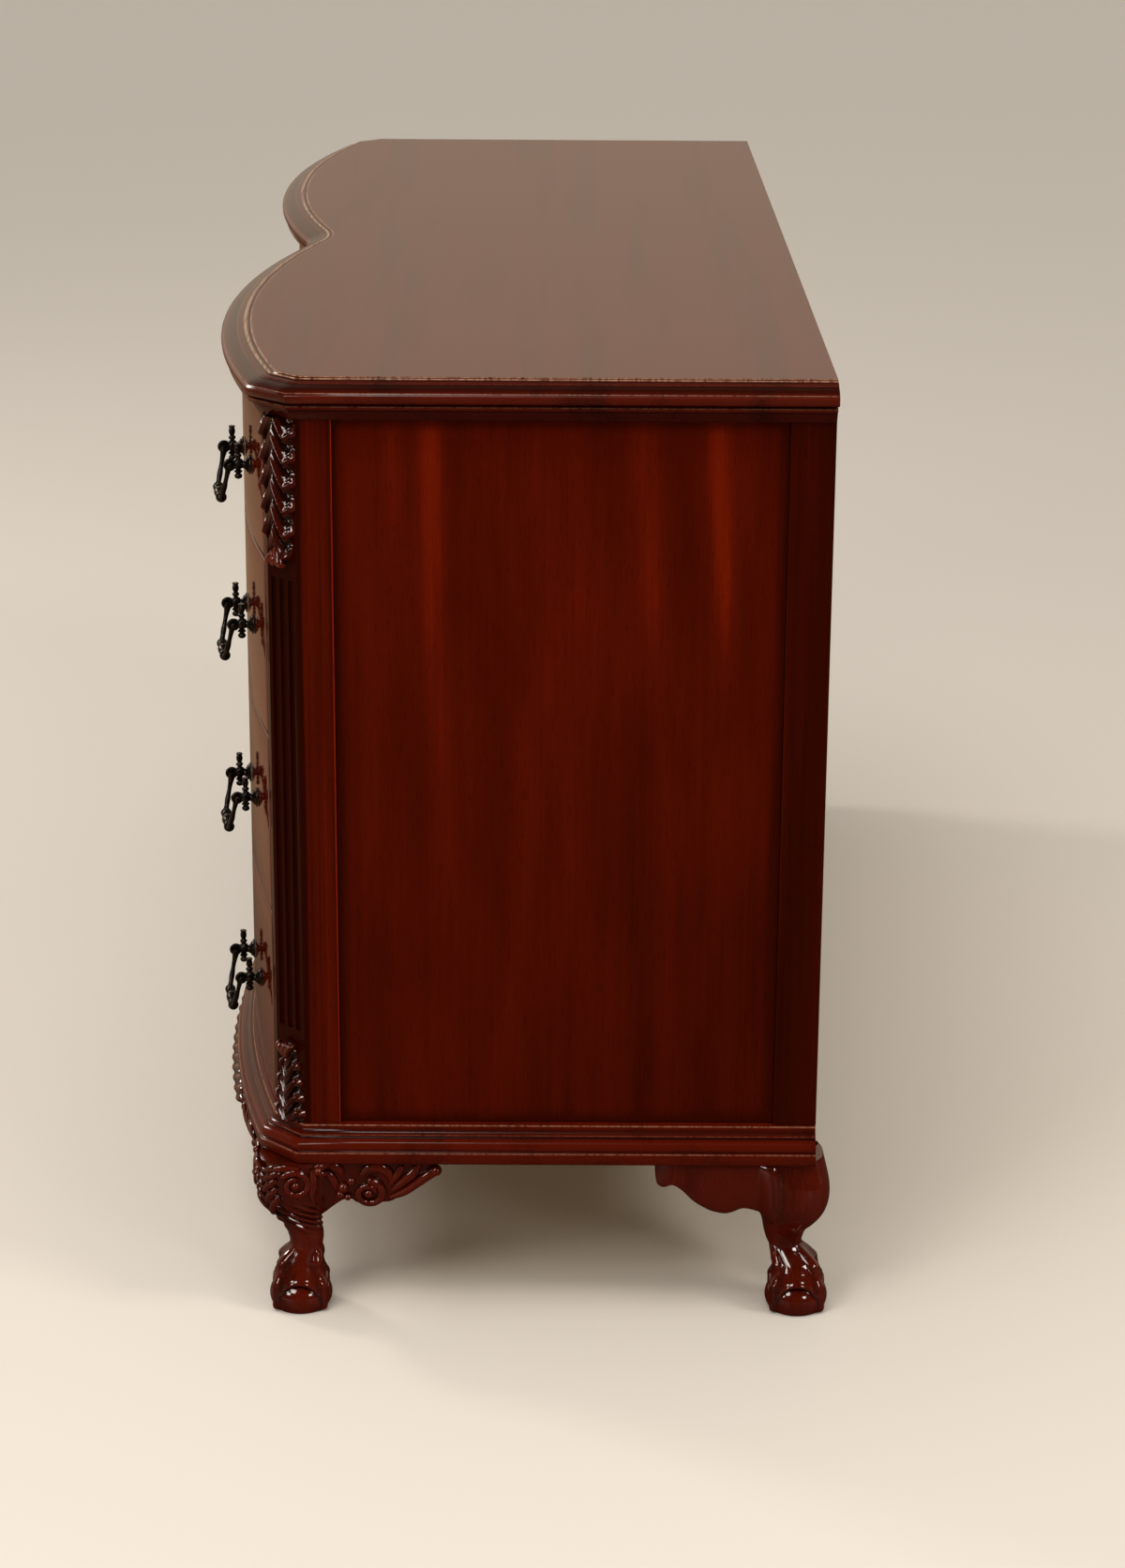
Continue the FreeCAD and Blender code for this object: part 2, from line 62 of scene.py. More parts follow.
# Sizes that the frame gives
HALF_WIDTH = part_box("rear_posts")[1].x
BACK_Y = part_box("rear_posts")[1].y
REAR_POST_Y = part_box("rear_posts")[0].y
FRONT_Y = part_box("drawer_front_1_right")[0].y
POST_INNER_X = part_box("front_post_right")[0].x
POST_BACK_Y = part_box("front_post_right")[1].y
TOP_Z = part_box("top_board")[1].z
TOP_UNDER_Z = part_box("top_board")[0].z
CASE_TOP_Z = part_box("rear_posts")[1].z
BASE_TOP_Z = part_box("base_frame")[1].z
LEG_TOP_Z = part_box("base_frame")[0].z
GADROON_LOW, GADROON_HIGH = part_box("gadroon_strip")
LEAVES_LOW, LEAVES_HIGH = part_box("corner_carvings")
SIDES = (("right", 1), ("left", -1))
ROWS = (1, 2, 3, 4)
PULLS = ("inner", "outer")

# The sRGB standard's numbers
HEX_FULL = 255
SRGB_SLOPE = 12.92
SRGB_SHIFT = 0.055
SRGB_POWER = 2.4
SRGB_KNEE = 0.04045


def length(name, words, millimetres):
    """A length property in metres, given in millimetres."""
    return bpy.props.FloatProperty(name=name, description=words, default=millimetres * MM, unit="LENGTH", precision=4)


def colour(name, words, code):
    """A colour property, given as an sRGB hex code."""
    return bpy.props.FloatVectorProperty(name=name, description=words, default=linear(code)[:3], subtype="COLOR",
                                         min=0.0, max=1.0)


def linear(code):
    """Linear RGBA of an sRGB hex code, by the standard's straight part near black and its curve above."""
    share = np.array([int(code[i:i + 2], 16) for i in (1, 3, 5)]) / HEX_FULL
    low = share / SRGB_SLOPE
    high = ((share + SRGB_SHIFT) / (1 + SRGB_SHIFT)) ** SRGB_POWER
    return tuple(np.where(share <= SRGB_KNEE, low, high)) + (1.0,)


class DresserSizes(bpy.types.PropertyGroup):
    """Sizes of the case plan, the carving and the pulls."""
    bow_inset: length("Bow inset", "From the case side to the middle of each bow", 370.5)
    notch_depth: length("Notch depth", "How far the middle of the front lies behind the bows", 50)
    notch_radius: length("Notch radius", "Radius of the hollow between the bows", 140)
    cant_setback: length("Cant setback", "From the front of the bow back to the canted corner's rear edge", 70.7)
    front_thickness: length("Front thickness", "Thickness of the bowed drawer fronts", 22)
    reed_pitch: length("Reed pitch", "Spacing of the slanted reeds on the strip under the base", 26)
    post_spacing: length("Post spacing", "From post to post of a pull", 76)
    bail_drop: length("Bail drop", "From the eye's axis down to the middle of the grip", 34)
    bail_lean: bpy.props.FloatProperty(name="Bail lean", description="Angle of a hanging bail off the vertical",
                                       default=math.radians(12), subtype="ANGLE")


class DresserColours(bpy.types.PropertyGroup):
    """Colours of the finishes and of the stage."""
    dark_wood: colour("Dark mahogany", "Dark bands of the lacquered wood", "#330800")
    carved_wood: colour("Carved mahogany", "Dark bands of the carved wood", "#240500")
    mid_wood: colour("Mahogany", "Ground colour of the lacquered wood", "#4c0e01")
    red_wood: colour("Red mahogany", "Bright ribbons of the lacquered wood", "#7c1c03")
    # Painted highlight: this pale rubbed colour also stands in for highlights along arrises, beads and crests
    worn_wood_and_highlight: colour("Worn edge", "Edges where the stain has rubbed thin", "#b08a6c")
    # Painted shade: this dark glaze colour also stands in for the shade in cuts, creases, grooves and under the foot's
    # lip
    glaze: colour("Glaze", "Dark glaze left in cuts and corners", "#0f0301")
    poplar: colour("Poplar", "Unfinished wood inside the case", "#b39a72")
    oak: colour("Oak", "Drawer sides and bottoms", "#b58f5e")
    brass_dark: colour("Patina", "Dark patina on the brass", "#14110f")
    brass_worn: colour("Rubbed brass", "Brass where the patina has rubbed off", "#5a4630")
    floor: colour("Floor", "Plain floor", "#ddd6cb")
    floor_gloss: colour("Floor in gloss", "The floor in front as it shows in gloss", "#8c6c50")
    floor_shade: colour("Floor shade", "The floor beside and behind as it shows in gloss", "#2a180d")
    backdrop: colour("Backdrop", "Pale surround", "#ecdfcf")
    room: colour("Room", "The surround as it shows in gloss", "#d8c1a9")


# Shapes

# The angle in degrees up to which edges are smoothed, unless a piece has its own
CREASE = 38.0
# An axis this near to X takes Y as its helper
NEAR_AXIS = 0.9


def sizes():
    """The size properties of the open scene."""
    return bpy.context.scene.dresser_sizes


def colours():
    """The colour properties of the open scene."""
    return bpy.context.scene.dresser_colours


def smooth_step(value):
    """0 below 0, 1 above 1, and an S-shaped curve between."""
    share = np.clip(value, 0.0, 1.0)
    return share * share * (3 - 2 * share)


def bump(value, middle, half_width):
    """A round hill of height 1 at middle that dies out at half_width on both sides."""
    return np.cos(np.clip((value - middle) / half_width, -1, 1) * math.pi) / 2 + 1 / 2


def dome(value, power):
    """A round hill of height 1 where value is 0 that ends where it is 1: the root of 1 - value ** power."""
    return np.sqrt(np.clip(1 - value**power, 0, 1))


def full_turn(count):
    """count evenly spaced angles once round."""
    return np.linspace(0, 2 * math.pi, count, endpoint=False)


def unit(vectors):
    """The vectors, each with length 1."""
    return vectors / np.maximum(np.linalg.norm(vectors, axis=-1, keepdims=True), TINY)


def stacked(x, y, z):
    """Points from their three parts, each a number or an array, (..., 3)."""
    return np.stack(np.broadcast_arrays(x, y, z), axis=-1)


def along(values, count):
    """count evenly spaced points on the polyline through values, by its length."""
    values = np.asarray(values, float)
    steps = np.linalg.norm(np.diff(values, axis=0), axis=1)
    reach = np.concatenate(([0.0], np.cumsum(steps)))
    marks = np.linspace(0, reach[-1], count)
    return np.stack([np.interp(marks, reach, values[:, i]) for i in range(values.shape[1])], axis=1)


def curve_through(points, count):
    """A smooth (Catmull-Rom) curve through the points, count samples evenly spaced in the points' index."""
    points = np.asarray(points, float)
    padded = np.vstack((2 * points[0] - points[1], points, 2 * points[-1] - points[-2]))
    place = np.linspace(0, len(points) - 1, count)
    index = np.minimum(place.astype(int), len(points) - 2)
    t = (place - index)[:, None]
    a, b, c, d = (padded[index + i] for i in range(4))
    return 1 / 2 * (2 * b + (c - a) * t + (2 * a - 5 * b + 4 * c - d) * t**2 + (3 * b - a - 3 * c + d) * t**3)


def run_through(values, count):
    """count numbers that run smoothly through the values, like curve_through."""
    return curve_through(np.asarray(values, float)[:, None], count)[:, 0]


def grid_faces(rows, columns, round_rows, round_columns, start):
    """Quads of a rows x columns grid of points numbered from start, closed round in either direction where asked."""
    down = np.arange(rows if round_rows else rows - 1)
    across = np.arange(columns if round_columns else columns - 1)
    i, j = np.meshgrid(down, across, indexing="ij")
    below = (i + 1) % rows
    beside = (j + 1) % columns
    quads = np.stack((i * columns + j, i * columns + beside, below * columns + beside, below * columns + j), axis=-1)
    return quads.reshape(-1, 4) + start


def linked(name, data):
    """A new object with this data, in the scene."""
    obj = bpy.data.objects.new(name, data)
    bpy.context.collection.objects.link(obj)
    return obj


class Shell:
    """Points, faces and a value of painted shade and wear for one mesh: 0 on the surface, up to 1 for glaze and painted
    shade deep in a cut, below 0 for rubbed pale wood with a painted highlight.
    """

    def __init__(self):
        self.points = []
        self.faces = []
        self.shade_and_wear = []
        self.count = 0

    def grid(self, points, round_rows=False, round_columns=False, shade_and_wear=None, ends=(False, False)):
        """Adds a grid of points, (rows, columns, 3), and closes its first and last row with a face where asked."""
        rows, columns = points.shape[:2]
        self.faces.extend(grid_faces(rows, columns, round_rows, round_columns, self.count).tolist())
        first = self.count + np.arange(columns)
        if ends[0]:
            self.faces.append(first[::-1].tolist())
        if ends[1]:
            self.faces.append((first + (rows - 1) * columns).tolist())
        self.points.append(points.reshape(-1, 3))
        depth = np.zeros(rows * columns) if shade_and_wear is None else np.broadcast_to(shade_and_wear, (rows, columns)).reshape(-1)
        self.shade_and_wear.append(depth)
        self.count += rows * columns

    def add(self, other, change):
        """Adds another shell with its points put through change."""
        points = change(np.concatenate(other.points))
        self.points.append(points)
        self.faces.extend([[k + self.count for k in face] for face in other.faces])
        self.shade_and_wear.append(np.concatenate(other.shade_and_wear))
        self.count += len(points)

    def build(self, name, material, body, slot, nodes, crease=CREASE):
        """Makes the object, puts it on its body, and lets it stand for the frame's nodes."""
        mesh = bpy.data.meshes.new(name)
        mesh.from_pydata(np.concatenate(self.points).tolist(), [], self.faces)
        mesh.attributes.new("shade_and_wear", "FLOAT", "POINT").data.foreach_set("value", np.concatenate(self.shade_and_wear))
        obj = linked(name, mesh)
        tidy_mesh(obj, crease)
        mesh.materials.append(material)
        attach(obj, body)
        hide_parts(*nodes)
        return obj


def tidy_mesh(obj, crease):
    """Merges doubles, makes all faces of a closed shell point outwards and smooths up to the crease angle."""
    bpy.context.view_layer.objects.active = obj
    for other in bpy.context.selected_objects:
        other.select_set(False)
    obj.select_set(True)
    bpy.ops.object.mode_set(mode="EDIT")
    bpy.ops.mesh.select_all(action="SELECT")
    bpy.ops.mesh.remove_doubles(threshold=MERGE_DISTANCE)
    bpy.ops.mesh.normals_make_consistent(inside=False)
    bpy.ops.object.mode_set(mode="OBJECT")
    obj.data.polygons.foreach_set("use_smooth", np.ones(len(obj.data.polygons), bool))
    obj.data.set_sharp_from_angle(angle=math.radians(crease))


def tube(shell, path, radius, turns, normal, shade_and_wear=None, flat=1.0):
    """Round section of the given radius carried along a path, with flat as its height along normal over its width."""
    tangent = unit(np.gradient(path, axis=0))
    side = unit(np.cross(tangent, normal))
    up = np.cross(side, tangent)
    angle = full_turn(turns)[None, :, None]
    around = np.cos(angle) * side[:, None] + flat * np.sin(angle) * up[:, None]
    shell.grid(path[:, None] + radius[:, None, None] * around, round_columns=True, shade_and_wear=shade_and_wear, ends=(True, True))


def turned(shell, profile, centre, axis, turns):
    """Profile of (radius, distance along the axis) carried round an axis through centre."""
    profile = np.asarray(profile, float)
    axis = unit(np.asarray(axis, float))
    helper = (1.0, 0.0, 0.0) if abs(axis[0]) < NEAR_AXIS else (0.0, 1.0, 0.0)
    first = unit(np.cross(axis, helper))
    second = np.cross(axis, first)
    angle = full_turn(turns)[:, None]
    around = np.cos(angle) * first + np.sin(angle) * second
    points = np.asarray(centre) + profile[:, 0, None, None] * around + profile[:, 1, None, None] * axis
    shell.grid(points, round_columns=True, ends=(profile[0, 0] > 0, profile[-1, 0] > 0))


def flipped(points):
    """The points mirrored to the left-hand half."""
    return points * np.array((-1.0, 1.0, 1.0))


def unchanged(points):
    """The points as they are."""
    return points


def copies(shell, *changes):
    """A shell that holds another one once for each change of its points."""
    whole = Shell()
    for change in changes:
        whole.add(shell, change)
    return whole


# Finishes

# Sockets of a Mix node that mixes colours
MIX_FROM = 6
MIX_TO = 7
MIX_RESULT = 2


def node(tree, kind, inputs=None, **settings):
    """Adds a node, sets its properties, and sets or links its inputs by name or number."""
    made = tree.nodes.new(kind)
    for key, value in settings.items():
        setattr(made, key, value)
    for key, value in (inputs or {}).items():
        if isinstance(value, bpy.types.NodeSocket):
            tree.links.new(value, made.inputs[key])
        else:
            made.inputs[key].default_value = value
    return made


def tone_of(name):
    """The colour property with this name as RGBA."""
    return tuple(getattr(colours(), name)) + (1.0,)


def new_finish(name):
    """An empty node material and its tree."""
    material = bpy.data.materials.new(name)
    material.use_nodes = True
    material.node_tree.nodes.clear()
    return material, material.node_tree


# Grain sizes in mm, across and along the grain. Pores are drawn coarser than the real 0.2 mm so that they show.
RIBBON_GRAIN = (46.0, 900.0)
FINE_GRAIN = (2.6, 170.0)
PORES = (0.9, 14.0)
PLANED_GRAIN = (6.0, 240.0)
# Detail of each noise, how much the ribbons waver, and the fine grain's share in the wood's value
RIBBON_DETAIL = 2.0
RIBBON_WAVER = 0.3
FINE_DETAIL = 3.0
PORE_DETAIL = 1.0
PLANED_DETAIL = 4.0
FINE_SHARE = 0.3
# Values at which the three tones of mahogany and the two of planed wood lie
TONE_PLACES = (0.3, 0.5, 0.8)
PLANED_PLACES = (0.35, 0.65)
# Pores: noise values where one begins and is full, how dark it gets, and the strength and depth in mm of its dent
PORE_FROM = 0.6
PORE_FULL = 0.75
PORE_DARK = 0.4
PORE_DENT = 0.03
PORE_DEPTH = 0.2
WOOD_IOR = 1.5
PLANED_ROUGHNESS = 0.65
# Values of the attribute of painted shade and wear where glaze with painted shade, and rubbing with a painted
# highlight, begin, their full shares, and the grain values between which rubbing is patchy
GLAZE_SHADE_FROM = 0.05
GLAZE_SHADE_SHARE = 0.92
RUB_HIGHLIGHT_FROM = -0.1
RUB_HIGHLIGHT_SHARE = 0.9
RUB_HIGHLIGHT_PATCHES = (0.3, 0.6)


def grain(tree, place, size, along_axis, detail, waver=0.0):
    """Noise stretched along one axis: a grain of (across, along) in mm gives the scale in cycles per metre."""
    across, length_mm = size
    scale = [1 / ((length_mm if axis == along_axis else across) * MM) for axis in range(3)]
    stretched = node(tree, "ShaderNodeMapping", {"Vector": place, "Scale": scale}).outputs[0]
    return node(tree, "ShaderNodeTexNoise", {"Vector": stretched, "Scale": 1.0, "Detail": detail,
                                             "Distortion": waver}).outputs[0]


def mahogany(name, grain_axis, tones, roughness, gloss, ribbon_grain=RIBBON_GRAIN, figure=None):
    """Lacquered mahogany: sliced ribbon-grain wood, stained red-brown, glazed and painted with shade in the cuts, gloss
    lacquered.

    To the eye: long soft light and dark ribbons, fine grain lines and dark pores under a clear gloss coat;
    dark glaze and painted shade where the attribute of painted shade and wear is above 0, and pale rubbed wood with a
    painted highlight where it is below 0.
    tones are the names of three colours; figure may change the wood's value by a pattern of its own, which on the post
    and the side panel holds painted shade.
    """
    material, tree = new_finish(name)
    place = node(tree, "ShaderNodeTexCoord").outputs["Object"]
    ribbon = grain(tree, place, ribbon_grain, grain_axis, RIBBON_DETAIL, RIBBON_WAVER)
    fine = grain(tree, place, FINE_GRAIN, grain_axis, FINE_DETAIL)
    pores = grain(tree, place, PORES, grain_axis, PORE_DETAIL)
    value = node(tree, "ShaderNodeMix", {"Factor": FINE_SHARE, "A": ribbon, "B": fine}).outputs[0]
    if figure:
        value = figure(tree, place, value)
    ramp = node(tree, "ShaderNodeValToRGB", {"Fac": value})
    ramp.color_ramp.elements.new(TONE_PLACES[1])
    for stop, position, tone in zip(ramp.color_ramp.elements, TONE_PLACES, tones):
        stop.position = position
        stop.color = tone_of(tone)
    pore_mark = node(tree, "ShaderNodeMapRange", {"Value": pores, "From Min": PORE_FROM, "From Max": PORE_FULL,
                                                  "To Max": PORE_DARK})
    pored = node(tree, "ShaderNodeMix", {0: pore_mark.outputs[0], MIX_FROM: ramp.outputs[0],
                                         MIX_TO: tone_of("glaze")}, data_type="RGBA")
    shaded_and_worn = add_shade_and_wear(tree, pored.outputs[MIX_RESULT], fine)
    dents = node(tree, "ShaderNodeBump", {"Height": pores, "Strength": PORE_DENT, "Distance": PORE_DEPTH * MM})
    shader = node(tree, "ShaderNodeBsdfPrincipled", {
        "Base Color": shaded_and_worn, "Roughness": roughness, "IOR": WOOD_IOR, "Specular IOR Level": gloss,
        "Normal": dents.outputs[0]})
    node(tree, "ShaderNodeOutputMaterial", {"Surface": shader.outputs[0]})
    return material


# Ribbons of the side panel as (y at the panel's top, shift at its foot, half width, all in mm, strength, which is below
# 0 for a dark one, and the shares of the panel's height at which it is full and has died out); the last, wide and dark,
# darkens the panel's lower rear
PANEL_RIBBONS = ((-79.0, 6.0, 18.0, 0.14, 0.8, 0.45), (-112.0, 0.0, 15.0, 0.09, 0.95, 0.76),
                 (166.0, 40.0, 18.0, 0.15, 0.8, 0.52), (98.0, 60.0, 20.0, 0.08, 0.72, 0.55),
                 (40.0, -30.0, 50.0, 0.04, 0.8, 0.3), (-100.0, 0.0, 70.0, 0.04, 0.9, 0.6),
                 (190.0, 0.0, 150.0, -0.08, 0.15, 0.6))
PANEL_GRAIN = (38.0, 240.0)
# The ground: how much of the wood's value it keeps, its level, how much painted light it gains up to the panel's top,
# how wide the glaze and painted shade along the borders are, in mm, and how much of the value they leave
PANEL_CALM = 0.42
PANEL_LEVEL = 0.2
PANEL_SHADE = 0.04
PANEL_GLAZE_SHADE_WIDTH = 16.0
PANEL_GLAZE_SHADE_LEAVES = 0.7


def band(tree, place, middle, limits):
    """A share that changes smoothly with the distance from middle, between the distances and shares in limits."""
    away = node(tree, "ShaderNodeMath", {0: place, 1: middle}, operation="SUBTRACT")
    apart = node(tree, "ShaderNodeMath", {0: away.outputs[0]}, operation="ABSOLUTE")
    return node(tree, "ShaderNodeMapRange", {"Value": apart.outputs[0], **limits},
                interpolation_type="SMOOTHSTEP").outputs[0]


def panel_figure(tree, place, value):
    """The side panel's calm ground, painted lighter towards its top, with a few ribbons that die out along its height,
    and darker along its borders with glaze and painted shade.
    """
    axes = node(tree, "ShaderNodeSeparateXYZ", {0: place}).outputs
    high = node(tree, "ShaderNodeMapRange", {"Value": axes[2], "From Min": BASE_TOP_Z,
                                             "From Max": CASE_TOP_Z}).outputs[0]
    level = node(tree, "ShaderNodeMath", {0: value, 1: PANEL_CALM, 2: PANEL_LEVEL}, operation="MULTIPLY_ADD")
    value = node(tree, "ShaderNodeMath", {0: high, 1: PANEL_SHADE, 2: level.outputs[0]},
                 operation="MULTIPLY_ADD").outputs[0]
    for middle, shift, half, strength, full, gone in PANEL_RIBBONS:
        foot = node(tree, "ShaderNodeMath", {0: high, 1: shift * MM, 2: axes[1]}, operation="MULTIPLY_ADD")
        share = band(tree, foot.outputs[0], (middle + shift) * MM,
                     {"From Min": half * MM, "From Max": 0.0, "To Max": strength})
        fade = node(tree, "ShaderNodeMapRange", {"Value": high, "From Min": gone, "From Max": full},
                    interpolation_type="SMOOTHSTEP")
        value = node(tree, "ShaderNodeMath", {0: share, 1: fade.outputs[0], 2: value},
                     operation="MULTIPLY_ADD").outputs[0]
    # Glaze and painted shade along the panel's borders
    for axis, low, top in ((1, POST_BACK_Y, REAR_POST_Y), (2, BASE_TOP_Z, CASE_TOP_Z)):
        half = (top - low) / 2
        share = band(tree, axes[axis], (low + top) / 2,
                     {"From Min": half, "From Max": half - PANEL_GLAZE_SHADE_WIDTH * MM, "To Min": PANEL_GLAZE_SHADE_LEAVES})
        value = node(tree, "ShaderNodeMath", {0: value, 1: share}, operation="MULTIPLY").outputs[0]
    return value


# How far behind the canted face the painted shade fades out, in mm, how much of the value is left on that face and
# behind it, and the width in mm and strength of the line of wear and painted highlight along the post's rear edge
CANT_SHADE_FADE = 6.0
CANT_SHADE_LEAVES = 0.2
POST_LEAVES = 0.8
POST_WEAR_HIGHLIGHT_WIDTH = 1.6
POST_WEAR_HIGHLIGHT = 0.5


def cant_shade_and_worn_highlight(tree, place, value):
    """Lowers the value on the canted face and in its flutes: painted shade on the face that turns away from the light.

    Raises it in a thin line along the post's rear edge: worn wood with a painted highlight.
    """
    y = node(tree, "ShaderNodeSeparateXYZ", {0: place}).outputs[1]
    cant_y = FRONT_Y + sizes().cant_setback
    share = node(tree, "ShaderNodeMapRange", {"Value": y, "From Min": cant_y, "From Max": cant_y + CANT_SHADE_FADE * MM,
                                              "To Min": CANT_SHADE_LEAVES, "To Max": POST_LEAVES})
    worn_highlight = node(tree, "ShaderNodeMapRange", {"Value": y, "From Min": POST_BACK_Y - POST_WEAR_HIGHLIGHT_WIDTH * MM,
                                             "From Max": POST_BACK_Y, "To Max": POST_WEAR_HIGHLIGHT})
    return node(tree, "ShaderNodeMath", {0: value, 1: share.outputs[0], 2: worn_highlight.outputs[0]},
                operation="MULTIPLY_ADD").outputs[0]


def add_shade_and_wear(tree, wood, fine):
    """The wood colour with dark glaze and painted shade where the attribute of painted shade and wear is above 0, and
    rubbed pale wood with a painted highlight where it is below 0.
    """
    shade_and_wear = node(tree, "ShaderNodeAttribute", attribute_name="shade_and_wear").outputs["Fac"]
    dark = node(tree, "ShaderNodeMapRange", {"Value": shade_and_wear, "From Min": GLAZE_SHADE_FROM, "To Max": GLAZE_SHADE_SHARE})
    rubbed_and_highlight = node(tree, "ShaderNodeMapRange", {"Value": shade_and_wear, "From Min": RUB_HIGHLIGHT_FROM, "From Max": -1.0,
                                               "To Max": RUB_HIGHLIGHT_SHARE})
    patchy = node(tree, "ShaderNodeMapRange", {"Value": fine, "From Min": RUB_HIGHLIGHT_PATCHES[0], "From Max": RUB_HIGHLIGHT_PATCHES[1]})
    wear_and_painted_light = node(tree, "ShaderNodeMath", {0: rubbed_and_highlight.outputs[0], 1: patchy.outputs[0]}, operation="MULTIPLY")
    for share, tone in ((dark, "glaze"), (wear_and_painted_light, "worn_wood_and_highlight")):
        wood = node(tree, "ShaderNodeMix", {0: share.outputs[0], MIX_FROM: wood, MIX_TO: tone_of(tone)},
                    data_type="RGBA").outputs[MIX_RESULT]
    return wood


def planed_wood(name, tone, dark_share):
    """Planed, unfinished board: pale straight grain, matt, its dark lines a share of the ground colour."""
    material, tree = new_finish(name)
    place = node(tree, "ShaderNodeTexCoord").outputs["Object"]
    ramp = node(tree, "ShaderNodeValToRGB", {"Fac": grain(tree, place, PLANED_GRAIN, 0, PLANED_DETAIL)})
    for stop, position, share in zip(ramp.color_ramp.elements, PLANED_PLACES, (dark_share, 1.0)):
        stop.position = position
        stop.color = tuple(c * share for c in tone_of(tone)[:3]) + (1.0,)
    shader = node(tree, "ShaderNodeBsdfPrincipled", {"Base Color": ramp.outputs[0], "Roughness": PLANED_ROUGHNESS,
                                                     "IOR": WOOD_IOR})
    node(tree, "ShaderNodeOutputMaterial", {"Surface": shader.outputs[0]})
    return material


# Brass: size of the rubbed spots in mm, their detail, noise values where they begin and are full, how far they
# are rubbed, and the metal's share and roughness
BRASS_SPOTS = 4.0
BRASS_DETAIL = 3.0
BRASS_FROM = 0.5
BRASS_FULL = 0.8
BRASS_RUBBED = 0.5
BRASS_METAL = 0.6
BRASS_ROUGHNESS = 0.2


def patinated_brass(name):
    """Cast brass with a near-black patina: dull metal, a little paler where fingers rub it."""
    material, tree = new_finish(name)
    place = node(tree, "ShaderNodeTexCoord").outputs["Object"]
    spots = node(tree, "ShaderNodeTexNoise", {"Vector": place, "Scale": 1 / (BRASS_SPOTS * MM), "Detail": BRASS_DETAIL})
    share = node(tree, "ShaderNodeMapRange", {"Value": spots.outputs[0], "From Min": BRASS_FROM, "From Max": BRASS_FULL,
                                              "To Max": BRASS_RUBBED})
    tone = node(tree, "ShaderNodeMix", {0: share.outputs[0], MIX_FROM: tone_of("brass_dark"),
                                        MIX_TO: tone_of("brass_worn")}, data_type="RGBA")
    shader = node(tree, "ShaderNodeBsdfPrincipled", {"Base Color": tone.outputs[MIX_RESULT], "Metallic": BRASS_METAL,
                                                     "Roughness": BRASS_ROUGHNESS})
    node(tree, "ShaderNodeOutputMaterial", {"Surface": shader.outputs[0]})
    return material


# Tones of mahogany from dark to bright
BRIGHT = ("dark_wood", "mid_wood", "red_wood")
DULL = ("dark_wood", "mid_wood", "mid_wood")
SHADED = ("carved_wood", "dark_wood", "mid_wood")
GLAZED = ("carved_wood", "mid_wood", "red_wood")
CARVED = ("carved_wood", "mid_wood", "mid_wood")
# Finishes as their maker and what it is given: for mahogany the grain's axis, tones, roughness and gloss, and where
# it has them its own ribbon grain and figure; for planed wood its colour and the share of it in the dark lines
FINISHES = {
    "lacquered_mahogany_upright": (mahogany, 2, SHADED, 0.18, 0.06),
    # The post's figure paints shade on the canted face and a highlight along the post's rear edge
    "fluted_mahogany_post": (mahogany, 2, GLAZED, 0.18, 0.06, RIBBON_GRAIN, cant_shade_and_worn_highlight),
    "lacquered_mahogany_lengthwise": (mahogany, 0, DULL, 0.18, 0.25),
    "lacquered_mahogany_front": (mahogany, 0, DULL, 0.07, 0.45),
    "lacquered_mahogany_top": (mahogany, 0, DULL, 0.24, 0.42),
    "ribbon_mahogany_panel": (mahogany, 2, BRIGHT, 0.18, 0.03, PANEL_GRAIN, panel_figure),
    "glazed_mahogany_carving": (mahogany, 2, CARVED, 0.1, 0.85),
    "planed_poplar": (planed_wood, "poplar", 0.8),
    "planed_oak": (planed_wood, "oak", 0.72),
    "patinated_brass": (patinated_brass,),
}


def finish_named(name):
    """The finish with this name, made on first use."""
    maker, *given = FINISHES[name]
    return bpy.data.materials.get(name) or maker(name, *given)


# Case

# Steps along each part of the plan
SIDE_STEPS = 10
CANT_STEPS = 5
BOW_STEPS = 56
NOTCH_STEPS = 14

# Profiles as (out, down, wear) in mm: wear below 0 is rubbed pale, as worn wood with a painted highlight, and above 0
# holds dark glaze and painted shade, in the grooves and on the top's outer slope
TOP_EDGE = ((-8, 0, 0), (-2, 0, 0), (0, 0, -0.3), (0.8, 0.2, -1), (1.6, 0.9, 0.2), (2.2, 1.8, 1), (3, 1.9, 0.9),
            (3.8, 1, -0.3), (5.2, 0.7, -0.9), (6.8, 1, -1), (7.6, 1.9, 0.9), (8.4, 2.4, 0.9), (9.2, 2.5, 0.1),
            (11, 2.9, 0.4), (12.4, 3.5, 0.4), (13, 3.7, -0.4), (13.4, 4.3, 1), (14.2, 4.6, 0.85), (18, 5.5, 0.85),
            (22, 7, 0.75), (25, 8.7, 0.4), (26.1, 9.5, -0.5),
            (26.4, 10, -0.2), (26.6, 10.3, 0.4), (27.4, 11, 0), (27.9, 12.2, 0), (28, 13.6, 0),
            (27.8, 15.2, 0), (27.1, 16.8, 0), (25.8, 18.2, 0.2), (24.1, 19, 0.8))
BEAD_EDGE = ((8.4, 0, 1), (8.4, 1.7, 1), (9.6, 2.2, 0.6), (12.4, 2.7, 0), (14, 3.8, -0.4), (14.3, 5.2, 0),
             (13.5, 6.6, 0.1), (11.6, 7.3, 0.8), (10, 7.6, 1), (9.8, 8.6, 0.7), (9.2, 10, 0.6), (7.4, 13, 0.65),
             (5.6, 15.6, 0.65), (4.8, 17, 0.8))
